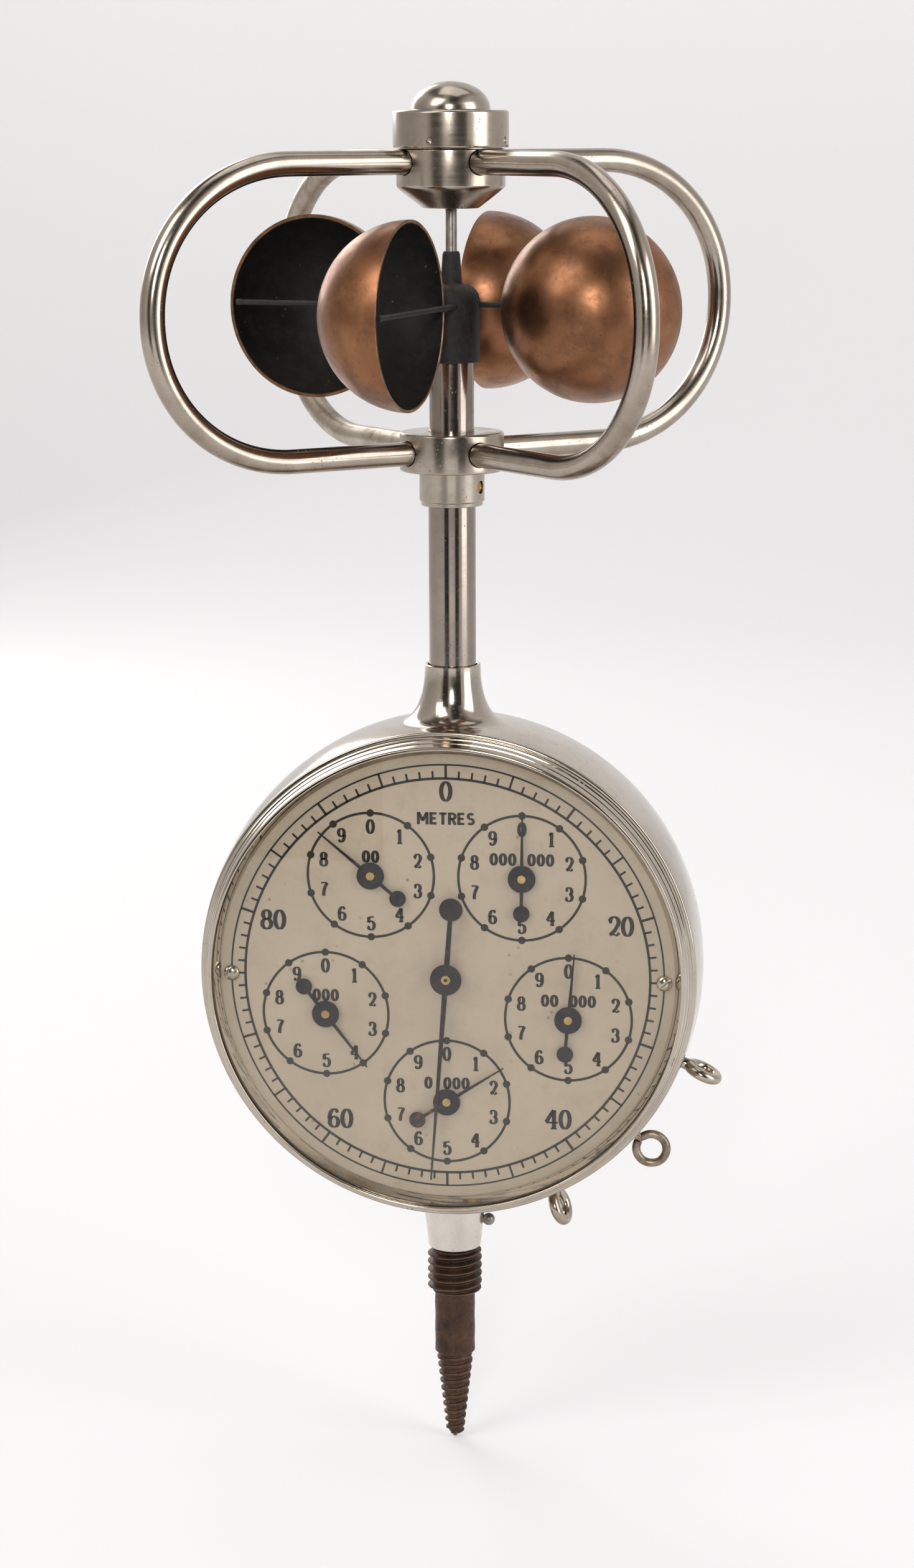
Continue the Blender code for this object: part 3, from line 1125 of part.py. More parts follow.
def build_post():
    """Tenon, machine thread, plain shank and a tapered wood-screw point; threads as ridges."""
    outline = [(0, TENON_TOP_Z), (TENON_R - 0.4 * MM, TENON_TOP_Z), (TENON_R, TENON_TOP_Z - 0.4 * MM),
               (TENON_R, -GAP), (THREAD_ROOT_R, -GAP)]
    ridges = int(-THREAD_END_Z / THREAD_PITCH)
    for ridge in range(ridges):
        top = -GAP - 0.1 * MM - ridge * THREAD_PITCH
        outline += [(THREAD_R, top - 0.45 * THREAD_PITCH), (THREAD_ROOT_R, top - 0.95 * THREAD_PITCH)]
    outline += [(SHANK_R, THREAD_END_Z - 0.3 * MM), (SHANK_R, SHANK_END_Z)]
    pitch = (SHANK_END_Z - TIP_Z) / WOOD_RIDGES
    for ridge in range(WOOD_RIDGES):
        share = ridge / WOOD_RIDGES
        shrink = 1 - share * (1 - TIP_R / WOOD_R)
        top = SHANK_END_Z - ridge * pitch
        outline += [(WOOD_ROOT_R * shrink, top - 0.2 * pitch), (WOOD_R * shrink, top - 0.6 * pitch)]
    outline += [(0, TIP_Z)]
    publish("post_screw", lathe(outline, 12), IRON)


def main():
    build_case()
    build_rear_cover()
    build_front()
    build_plates()
    build_counter()
    build_hands()
    build_clutch()
    build_lever()
    build_guides()
    build_foot_bearing()
    build_spindle()
    build_rotor()
    collar = build_stem()
    hub = build_hub()
    build_bows(hub, collar)
    build_socket()
    build_post()


main()
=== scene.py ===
import math

import bmesh
import bpy
from mathutils import Matrix, Vector


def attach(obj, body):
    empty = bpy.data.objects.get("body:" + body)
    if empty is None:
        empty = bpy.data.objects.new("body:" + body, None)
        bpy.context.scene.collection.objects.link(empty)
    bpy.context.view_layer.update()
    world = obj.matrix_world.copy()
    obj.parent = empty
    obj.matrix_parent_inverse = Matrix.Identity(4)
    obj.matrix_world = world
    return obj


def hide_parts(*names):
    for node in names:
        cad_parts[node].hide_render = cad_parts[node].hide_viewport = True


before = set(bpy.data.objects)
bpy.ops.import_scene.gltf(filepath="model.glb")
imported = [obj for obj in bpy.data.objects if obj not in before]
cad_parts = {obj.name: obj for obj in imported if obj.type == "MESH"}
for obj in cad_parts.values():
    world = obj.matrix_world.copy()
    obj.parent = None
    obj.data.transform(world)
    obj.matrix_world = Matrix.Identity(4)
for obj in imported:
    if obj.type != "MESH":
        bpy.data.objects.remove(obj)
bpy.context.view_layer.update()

MM = 0.001
ZC = 53.25


# ------------------------------------------------------------------ node helpers

class Tree:
    """A small builder for one material's nodes; texture coordinates are the object's own."""

    def __init__(self, name):
        self.mat = bpy.data.materials.new(name)
        self.mat.use_nodes = True
        self.nt = self.mat.node_tree
        self.bsdf = self.nt.nodes["Principled BSDF"]
        self.out = self.nt.nodes["Material Output"]
        self.coord = self.nt.nodes.new("ShaderNodeTexCoord").outputs["Object"]

    def link(self, a, b):
        self.nt.links.new(a, b)

    def mapped(self, scale=(1, 1, 1), rot=(0, 0, 0), loc=(0, 0, 0)):
        n = self.nt.nodes.new("ShaderNodeMapping")
        n.inputs["Scale"].default_value = scale
        n.inputs["Rotation"].default_value = rot
        n.inputs["Location"].default_value = loc
        self.link(self.coord, n.inputs["Vector"])
        return n.outputs["Vector"]

    def noise(self, scale, detail=6, rough=0.55, vector=None, distort=0.0):
        n = self.nt.nodes.new("ShaderNodeTexNoise")
        n.inputs["Scale"].default_value = scale
        n.inputs["Detail"].default_value = detail
        n.inputs["Roughness"].default_value = rough
        n.inputs["Distortion"].default_value = distort
        self.link(vector or self.coord, n.inputs["Vector"])
        return n.outputs["Fac"]

    def voronoi(self, scale):
        n = self.nt.nodes.new("ShaderNodeTexVoronoi")
        n.inputs["Scale"].default_value = scale
        self.link(self.coord, n.inputs["Vector"])
        return n.outputs["Distance"]

    def ramp(self, fac, low, high=None):
        """A ramp from a list of (place, value) stops, or a rise from 0 to 1 between two places."""
        stops = low if high is None else [(low, 0.0), (high, 1.0)]
        n = self.nt.nodes.new("ShaderNodeValToRGB")
        els = n.color_ramp.elements
        while len(els) < len(stops):
            els.new(0.5)
        for el, (pos, val) in zip(els, stops):
            el.position = pos
            el.color = (val, val, val, 1) if isinstance(val, (int, float)) else (*val, 1)
        self.link(fac, n.inputs["Fac"])
        return n.outputs["Color"]

    def math(self, op, a, b=0.0, clamp=False):
        n = self.nt.nodes.new("ShaderNodeMath")
        n.operation = op
        n.use_clamp = clamp
        for sock, v in zip(n.inputs, (a, b)):
            if isinstance(v, (int, float)):
                sock.default_value = v
            else:
                self.link(v, sock)
        return n.outputs[0]

    def mul(self, a, b, clamp=False):
        return self.math("MULTIPLY", a, b, clamp)

    def add(self, a, b, clamp=False):
        return self.math("ADD", a, b, clamp)

    def mix(self, fac, a, b):
        n = self.nt.nodes.new("ShaderNodeMix")
        n.data_type = "RGBA"
        for sock, v in ((n.inputs["Factor"], fac), (n.inputs[6], a), (n.inputs[7], b)):
            if isinstance(v, tuple):
                sock.default_value = (*v, 1)
            elif isinstance(v, (int, float)):
                sock.default_value = v
            else:
                self.link(v, sock)
        return n.outputs[2]

    def up(self, low=0.35, high=0.95):
        """How far a face looks upward: for dust on top faces, and with reversed limits for painted shade on
        undersides.
        """
        g = self.nt.nodes.new("ShaderNodeNewGeometry")
        s = self.nt.nodes.new("ShaderNodeSeparateXYZ")
        self.link(g.outputs["Normal"], s.inputs[0])
        n = self.nt.nodes.new("ShaderNodeMapRange")
        n.inputs["From Min"].default_value = low
        n.inputs["From Max"].default_value = high
        self.link(s.outputs["Z"], n.inputs["Value"])
        return n.outputs["Result"]

    def edge(self, low=0.52, high=0.6):
        g = self.nt.nodes.new("ShaderNodeNewGeometry")
        n = self.nt.nodes.new("ShaderNodeMapRange")
        n.inputs["From Min"].default_value = low
        n.inputs["From Max"].default_value = high
        self.link(g.outputs["Pointiness"], n.inputs["Value"])
        return n.outputs["Result"]

    def bump(self, height, strength, distance):
        n = self.nt.nodes.new("ShaderNodeBump")
        n.inputs["Strength"].default_value = strength
        n.inputs["Distance"].default_value = distance
        self.link(height, n.inputs["Height"])
        self.link(n.outputs["Normal"], self.bsdf.inputs["Normal"])
        return n

    def set(self, **kw):
        names = {"color": "Base Color", "rough": "Roughness", "metal": "Metallic",
                 "spec": "Specular IOR Level"}
        for key, v in kw.items():
            sock = self.bsdf.inputs[names[key]]
            if isinstance(v, tuple):
                sock.default_value = (*v, 1)
            elif isinstance(v, (int, float)):
                sock.default_value = v
            else:
                self.link(v, sock)
        return self.mat


def nickel(name, bright=(0.52, 0.465, 0.40), dull=(0.27, 0.225, 0.175), low=0.22, high=0.4, specks=0.5,
           wear=0.35, tarnish=0.45, shade=0.75):
    t = Tree(name)
    broad = t.noise(55, 5, 0.6)
    cloud = t.noise(260, 6, 0.65, distort=0.4)
    fine = t.noise(2600, 4, 0.6)
    patches = t.ramp(broad, 0.38, 0.62)
    cloudy = t.ramp(cloud, 0.45, 0.7)
    film = t.mul(t.add(t.mul(patches, 0.55), t.mul(cloudy, 0.6)), tarnish, True)
    base = t.mix(film, bright, dull)
    pit_d = t.voronoi(1100)
    pit_mask = t.ramp(pit_d, [(0.10, 1.0), (0.2, 0.0)])
    pit_where = t.ramp(t.noise(190, 3, 0.5), 0.5, 0.62)
    pits = t.mul(t.mul(pit_mask, pit_where), specks, True)
    base = t.mix(pits, base, (0.12, 0.075, 0.04))
    # painted shade: faces that look downward are darkened to brown, by the shade amount and patchy noise
    under_shade = t.mul(t.up(-0.15, -0.8), t.ramp(t.noise(330, 6, 0.7), [(0.3, 0.45), (0.6, 1.0)]))
    base = t.mix(t.mul(under_shade, shade, True), base, (0.115, 0.065, 0.035))
    worn = t.mul(t.edge(), t.ramp(t.noise(420, 4, 0.6), 0.42, 0.6))
    base = t.mix(t.mul(worn, wear, True), base, (0.62, 0.42, 0.17))
    scratch = t.noise(90, 3, 0.5, t.mapped((1, 1, 34), (0.4, 0.2, 0)))
    rough = t.add(t.mul(film, high - low), low)
    rough = t.add(rough, t.mul(pits, 0.4))
    rough = t.add(rough, t.mul(t.math("SUBTRACT", scratch, 0.5), 0.12), True)
    height = t.math("SUBTRACT", t.mul(fine, 0.25), pits)
    t.bump(height, 0.22, 0.00003)
    return t.set(color=base, rough=rough, metal=t.math("SUBTRACT", 1.0, t.mul(pits, 0.6)))


def copper():
    t = Tree("cup_copper")
    broad = t.noise(48, 6, 0.6, distort=0.6)
    cloud = t.noise(230, 7, 0.7, distort=0.3)
    base = t.mix(t.ramp(broad, 0.35, 0.65), (0.300, 0.135, 0.064), (0.185, 0.085, 0.045))
    base = t.mix(t.mul(t.ramp(cloud, 0.5, 0.66), 0.6), base, (0.115, 0.058, 0.036))
    bright = t.ramp(t.noise(120, 5, 0.6, t.mapped(loc=(3, 1, 7))), 0.56, 0.7)
    base = t.mix(t.mul(bright, 0.5), base, (0.42, 0.215, 0.11))
    dots = t.ramp(t.voronoi(900), [(0.08, 1.0), (0.16, 0.0)])
    dots = t.mul(dots, t.ramp(t.noise(150, 3), 0.5, 0.6))
    base = t.mix(t.mul(dots, 0.7), base, (0.05, 0.03, 0.025))
    rough = t.add(t.mul(t.ramp(cloud, 0.35, 0.7), 0.18), 0.27)
    t.bump(t.add(t.noise(1500, 4), t.mul(cloud, 0.8)), 0.12, 0.00005)
    return t.set(color=base, rough=rough, metal=0.96)


def cup_rim():
    t = Tree("cup_rim_metal")
    n = t.noise(500, 5)
    base = t.mix(t.ramp(n, 0.35, 0.65), (0.30, 0.17, 0.09), (0.12, 0.07, 0.045))
    t.bump(n, 0.1, 0.00004)
    return t.set(color=base, rough=t.ramp(n, [(0.3, 0.25), (0.7, 0.5)]), metal=1.0)


def black(name, dust=0.5, gloss=0.45):
    t = Tree(name)
    n = t.noise(900, 6, 0.65)
    worn = t.ramp(t.noise(330, 5, 0.65), 0.6, 0.72)
    base = t.mix(t.ramp(n, 0.3, 0.75), (0.009, 0.009, 0.010), (0.030, 0.027, 0.025))
    base = t.mix(t.mul(worn, 0.35), base, (0.07, 0.045, 0.03))
    top = t.mul(t.up(), t.ramp(t.noise(700, 5, 0.7), [(0.35, 0.25), (0.65, 1.0)]))
    base = t.mix(t.mul(top, dust, True), base, (0.20, 0.185, 0.165))
    t.bump(n, 0.25, 0.00006)
    return t.set(color=base, rough=t.add(t.mul(n, 0.25), gloss, True), spec=0.28)


def cup_inside():
    t = Tree("cup_inside_black")
    n = t.noise(420, 7, 0.7)
    base = t.mix(t.ramp(n, 0.4, 0.75), (0.006, 0.006, 0.006), (0.020, 0.016, 0.014))
    flakes = t.ramp(t.voronoi(620), [(0.06, 1.0), (0.13, 0.0)])
    flakes = t.mul(flakes, t.ramp(t.noise(210, 3), 0.52, 0.6))
    base = t.mix(t.mul(flakes, 0.8), base, (0.22, 0.13, 0.075))
    base = t.mix(t.mul(t.up(0.3, 1.0), 0.12), base, (0.12, 0.10, 0.085))
    t.bump(n, 0.3, 0.00008)
    return t.set(color=base, rough=0.55, spec=0.25)


def dial_paint():
    t = Tree("dial_silvered")
    broad = t.noise(42, 6, 0.6)
    grain = t.noise(1800, 6, 0.7)
    base = t.mix(t.ramp(broad, 0.3, 0.7), (0.50, 0.415, 0.335), (0.44, 0.365, 0.29))
    base = t.mix(t.mul(t.ramp(t.noise(160, 7, 0.72), 0.5, 0.72), 0.45), base,
                 (0.35, 0.275, 0.205))
    fox = t.ramp(t.voronoi(380), [(0.05, 1.0), (0.15, 0.0)])
    fox = t.mul(fox, t.ramp(t.noise(95, 4), 0.5, 0.64))
    base = t.mix(t.mul(fox, 0.75), base, (0.13, 0.08, 0.04))
    base = t.mix(t.mul(t.ramp(grain, 0.35, 0.7), 0.16), base, (0.30, 0.24, 0.17))
    t.bump(grain, 0.12, 0.00002)
    return t.set(color=base, rough=t.ramp(grain, [(0.3, 0.48), (0.7, 0.66)]), metal=0.0, spec=0.3)


def ink():
    t = Tree("dial_ink")
    n = t.noise(1400, 6, 0.7)
    base = t.mix(t.ramp(n, 0.4, 0.75), (0.004, 0.003, 0.002), (0.022, 0.015, 0.010))
    t.bump(n, 0.1, 0.00002)
    return t.set(color=base, rough=t.ramp(n, [(0.3, 0.5), (0.7, 0.8)]))


def blued(name="hand_blued", rust=0.25):
    t = Tree(name)
    n = t.noise(520, 6, 0.7)
    base = t.mix(t.ramp(n, 0.35, 0.7), (0.016, 0.020, 0.030), (0.045, 0.036, 0.032))
    spots = t.ramp(t.noise(950, 4), 0.58, 0.68)
    base = t.mix(t.mul(spots, rust), base, (0.22, 0.075, 0.03))
    t.bump(n, 0.15, 0.00003)
    return t.set(color=base, rough=t.ramp(n, [(0.3, 0.25), (0.7, 0.5)]), metal=0.85)


def steel(name, base_a=(0.30, 0.28, 0.26), base_b=(0.14, 0.12, 0.105)):
    t = Tree(name)
    n = t.noise(300, 6, 0.65)
    lines = t.noise(70, 3, 0.5, t.mapped((1, 1, 60)))
    base = t.mix(t.ramp(n, 0.38, 0.66), base_a, base_b)
    base = t.mix(t.mul(t.ramp(t.noise(1300, 4), 0.58, 0.7), 0.4), base,
                 (0.16, 0.085, 0.045))
    t.bump(t.add(n, lines), 0.12, 0.00003)
    return t.set(color=base, rough=t.add(t.mul(lines, 0.25), 0.26), metal=0.95)


def brass(name="inner_brass"):
    t = Tree(name)
    n = t.noise(240, 6, 0.6)
    base = t.mix(t.ramp(n, 0.35, 0.68), (0.60, 0.42, 0.17), (0.33, 0.21, 0.08))
    t.bump(t.noise(1500, 3), 0.08, 0.00003)
    return t.set(color=base, rough=t.ramp(n, [(0.3, 0.22), (0.7, 0.42)]), metal=1.0)


def rust():
    t = Tree("post_iron")
    n = t.noise(260, 8, 0.72)
    g = t.noise(1200, 6, 0.7)
    base = t.mix(t.ramp(n, 0.36, 0.66), (0.034, 0.022, 0.017), (0.105, 0.052, 0.028))
    base = t.mix(t.mul(t.ramp(g, 0.52, 0.68), 0.5), base, (0.022, 0.017, 0.015))
    base = t.mix(t.mul(t.edge(), 0.55, True), base, (0.27, 0.20, 0.15))
    t.bump(t.add(n, g), 0.5, 0.00012)
    return t.set(color=base, rough=t.ramp(g, [(0.3, 0.28), (0.7, 0.6)]), metal=0.7)


def glass():
    t = Tree("flat_glass")
    nt = t.nt
    clear = nt.nodes.new("ShaderNodeBsdfTransparent")
    clear.inputs["Color"].default_value = (0.985, 0.985, 0.97, 1)
    gloss = nt.nodes.new("ShaderNodeBsdfGlossy")
    gloss.inputs["Roughness"].default_value = 0.02
    fres = nt.nodes.new("ShaderNodeFresnel")
    fres.inputs["IOR"].default_value = 1.5
    veil = nt.nodes.new("ShaderNodeBsdfDiffuse")
    veil.inputs["Color"].default_value = (0.62, 0.57, 0.49, 1)
    mixed = nt.nodes.new("ShaderNodeMixShader")
    side = nt.nodes.new("ShaderNodeNewGeometry")
    outer = t.math("SUBTRACT", 1.0, side.outputs["Backfacing"])
    t.link(t.mul(fres.outputs[0], outer), mixed.inputs["Fac"])
    t.link(clear.outputs[0], mixed.inputs[1])
    t.link(gloss.outputs[0], mixed.inputs[2])
    sep = nt.nodes.new("ShaderNodeSeparateXYZ")
    t.link(t.coord, sep.inputs[0])
    down = nt.nodes.new("ShaderNodeMapRange")
    down.inputs["From Min"].default_value = (ZC + 22) * MM
    down.inputs["From Max"].default_value = (ZC - 34) * MM
    t.link(sep.outputs["Z"], down.inputs["Value"])
    smear = t.ramp(t.noise(70, 7, 0.7, distort=0.8), [(0.35, 0.15), (0.7, 1.0)])
    speck = t.ramp(t.voronoi(560), [(0.04, 1.0), (0.09, 0.0)])
    fac = t.mul(t.mul(down.outputs["Result"], smear), 0.05)
    fac = t.add(fac, t.mul(speck, 0.05), True)
    final = nt.nodes.new("ShaderNodeMixShader")
    t.link(fac, final.inputs["Fac"])
    t.link(mixed.outputs[0], final.inputs[1])
    t.link(veil.outputs[0], final.inputs[2])
    t.link(final.outputs[0], t.out.inputs["Surface"])
    return t.mat


MAT = {
    "case": nickel("case_nickel", low=0.10, high=0.26, specks=0.7, tarnish=0.4),
    "bezel": nickel("bezel_nickel", (0.53, 0.47, 0.395), (0.30, 0.25, 0.19), 0.07, 0.2, 0.5, 0.4, 0.35),
    "reflector": nickel("reflector_nickel", (0.70, 0.64, 0.55), (0.5, 0.44, 0.36), 0.04, 0.10, 0.2, 0.0,
                        0.25),
    "tube": nickel("tube_nickel", (0.34, 0.295, 0.26), (0.17, 0.135, 0.11), 0.12, 0.26, 0.6, 0.08, 0.4),
    "bow": nickel("bow_nickel", (0.47, 0.41, 0.345), (0.23, 0.185, 0.14), 0.17, 0.34, 0.6, 0.2, 0.5, 0.6),
    "speckled_bow": nickel("bow_speckled", (0.56, 0.50, 0.42), (0.24, 0.19, 0.14), 0.26, 0.5, 1.0, 0.3,
                           0.9, 0.55),
    "hub": nickel("hub_nickel", (0.47, 0.415, 0.35), (0.235, 0.19, 0.145), 0.19, 0.36, 0.7, 0.35, 0.5, 0.6),
    "socket": nickel("socket_satin", (0.70, 0.66, 0.60), (0.46, 0.41, 0.35), 0.24, 0.38, 0.5, 0.2, 0.4),
    "screw": nickel("small_nickel", (0.50, 0.44, 0.36), (0.26, 0.21, 0.155), 0.12, 0.3, 0.3, 0.5, 0.5),
    "copper": copper(),
    "rim": cup_rim(),
    "inside": cup_inside(),
    "hub_black": black("rotor_black", 0.3),
    "arm_black": black("arm_black", 0.35),
    "dial": dial_paint(),
    "ink": ink(),
    "hand": blued(),
    "red_hand": blued("hand_reddish", 0.9),
    "steel": steel("spindle_steel"),
    "lever": steel("lever_steel", (0.36, 0.30, 0.235), (0.15, 0.11, 0.075)),
    "brass": brass(),
    "iron": rust(),
    "glass": glass(),
}


# ------------------------------------------------------------------ mesh helpers (millimetres)

def finish_mesh(name, bm, mats, body, nodes=(), angle=35):
    bmesh.ops.remove_doubles(bm, verts=bm.verts, dist=1e-4)
    bmesh.ops.recalc_face_normals(bm, faces=bm.faces)
    bmesh.ops.scale(bm, verts=bm.verts, vec=(MM, MM, MM))
    me = bpy.data.meshes.new(name)
    bm.to_mesh(me)
    bm.free()
    for m in mats if isinstance(mats, (list, tuple)) else [mats]:
        me.materials.append(m)
    me.shade_smooth()
    me.set_sharp_from_angle(angle=math.radians(angle))
    ob = bpy.data.objects.new(name, me)
    bpy.context.scene.collection.objects.link(ob)
    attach(ob, body)
    if nodes:
        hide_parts(*nodes)
    return ob


def rounded(points, r, closed=True, steps=4):
    """Rounds a profile's corners with small arcs; a point may carry its own radius."""
    out = []
    n = len(points)
    for i, p in enumerate(points):
        own = p[2] if len(p) > 2 else r
        if own <= 0 or (not closed and i in (0, n - 1)) or abs(p[0]) < 1e-9:
            out.append((p[0], p[1]))
            continue
        here = Vector(p[:2])
        a = Vector(points[i - 1][:2]) - here
        b = Vector(points[(i + 1) % n][:2]) - here
        if a.length < 1e-9 or b.length < 1e-9:
            out.append(tuple(here))
            continue
        take = min(own, a.length * 0.45, b.length * 0.45)
        s, e = here + a.normalized() * take, here + b.normalized() * take
        for k in range(steps + 1):
            t = k / steps
            q = s * (1 - t) ** 2 + here * 2 * t * (1 - t) + e * t ** 2
            out.append((q.x, q.y))
    return out


def lathe(profile, segs=160, bm=None, mat=0, closed=True, matrix=None):
    bm = bm or bmesh.new()
    rings = [[bm.verts.new((0, 0, h))] if r < 1e-6 else circle(bm, r, h, segs) for r, h in profile]
    fresh = [v for ring in rings for v in ring]
    pairs = list(zip(rings, rings[1:] + (rings[:1] if closed else [])))
    for a, b in pairs:
        if len(a) == 1 and len(b) == 1:
            continue
        for k in range(segs):
            j = (k + 1) % segs
            corners = list(dict.fromkeys([a[k % len(a)], a[j % len(a)], b[j % len(b)], b[k % len(b)]]))
            f = bm.faces.new(corners)
            f.material_index = mat
    if matrix:
        bmesh.ops.transform(bm, matrix=matrix, verts=fresh)
    return bm


def skin(bm, a, b, mat=0):
    """Quads between two rings with the same count of vertices."""
    n = len(a)
    for k in range(n):
        j = (k + 1) % n
        bm.faces.new((a[k], a[j], b[j], b[k])).material_index = mat


def circle(bm, r, z, segs):
    return [bm.verts.new((r * math.cos(2 * math.pi * k / segs), r * math.sin(2 * math.pi * k / segs), z))
            for k in range(segs)]


def ball_profile(r, steps):
    pts = [(r * math.sin(math.pi * k / steps), -r * math.cos(math.pi * k / steps)) for k in range(steps + 1)]
    pts[0], pts[-1] = (0, -r), (0, r)
    return pts


TO_Y = Matrix(((1, 0, 0, 0), (0, 0, 1, 0), (0, -1, 0, 0), (0, 0, 0, 1)))


def at_dial(x=0.0, z=0.0, y=0.0):
    return Matrix.Translation((x, y, ZC + z)) @ TO_Y


def align(direction, at=(0, 0, 0)):
    return Matrix.Translation(at) @ Vector(direction).to_track_quat("Z", "Y").to_matrix().to_4x4()


def sweep(path, radius, turn=28, bm=None, closed=False, cap=True, mat=0):
    """A tube along a path; radius may be a list. Ends are closed with flat faces."""
    bm = bm or bmesh.new()
    n = len(path)
    rads = radius if isinstance(radius, (list, tuple)) else [radius] * n
    rings = []
    normal = None
    for i, p in enumerate(path):
        a = path[i - 1] if i or closed else p
        b = path[(i + 1) % n] if i < n - 1 or closed else p
        fwd = (Vector(b) - Vector(a)).normalized()
        if normal is None:
            normal = fwd.orthogonal().normalized()
        normal = (normal - fwd * normal.dot(fwd)).normalized()
        side = fwd.cross(normal)
        rings.append([bm.verts.new(Vector(p) + rads[i] * (normal * math.cos(2 * math.pi * k / turn)
                                                          + side * math.sin(2 * math.pi * k / turn)))
                      for k in range(turn)])
    for a, b in list(zip(rings, rings[1:])) + ([(rings[-1], rings[0])] if closed else []):
        skin(bm, a, b, mat)
    if cap and not closed:
        bm.faces.new(rings[0]).material_index = mat
        bm.faces.new(rings[-1]).material_index = mat
    return bm


def prism(outline, y0, y1, bm=None, mat=0):
    """A closed prism from (x, z) points about the dial centre, between two depths."""
    bm = bm or bmesh.new()
    front = [bm.verts.new((x, y0, ZC + z)) for x, z in outline]
    back = [bm.verts.new((x, y1, ZC + z)) for x, z in outline]
    faces = [bm.faces.new(front), bm.faces.new(list(reversed(back)))]
    n = len(outline)
    for i in range(n):
        j = (i + 1) % n
        faces.append(bm.faces.new((front[i], back[i], back[j], front[j])))
    for f in faces:
        f.material_index = mat
    return bm


def bool_cut(ob, cutters, op="DIFFERENCE"):
    """Applies Booleans and drops the cutters."""
    for c in cutters:
        m = ob.modifiers.new("b", "BOOLEAN")
        m.operation = op
        m.solver = "EXACT"
        m.object = c
    dg = bpy.context.evaluated_depsgraph_get()
    me = bpy.data.meshes.new_from_object(ob.evaluated_get(dg))
    ob.modifiers.clear()
    old = ob.data
    ob.data = me
    bpy.data.meshes.remove(old)
    me.shade_smooth()
    me.set_sharp_from_angle(angle=math.radians(35))
    for c in cutters:
        data = c.data
        bpy.data.objects.remove(c)
        bpy.data.meshes.remove(data)


def tool(bm):
    bmesh.ops.recalc_face_normals(bm, faces=bm.faces)
    bmesh.ops.scale(bm, verts=bm.verts, vec=(MM, MM, MM))
    me = bpy.data.meshes.new("tool")
    bm.to_mesh(me)
    bm.free()
    ob = bpy.data.objects.new("tool", me)
    bpy.context.scene.collection.objects.link(ob)
    ob.hide_render = True
    return ob


def polar(r, az, z=0.0):
    return Vector((r * math.cos(math.radians(az)), r * math.sin(math.radians(az)), z))


def clock(angle, r):
    return r * math.sin(math.radians(angle)), r * math.cos(math.radians(angle))


# ------------------------------------------------------------------ case, neck, cover

CASE_R, BULGE = 44.35, 78.7
LEVER_Y = 4.0
EYE_CLOCK, EYE_RING = 134.9, 49.84
GUIDES = {"upper": (114.7, 48.9, 0.0), "lower": (157.9, 50.2, 12.0)}
PIVOT = (-27.5, 21.9)


def band(y):
    return CASE_R - BULGE + math.sqrt(BULGE ** 2 - y ** 2)


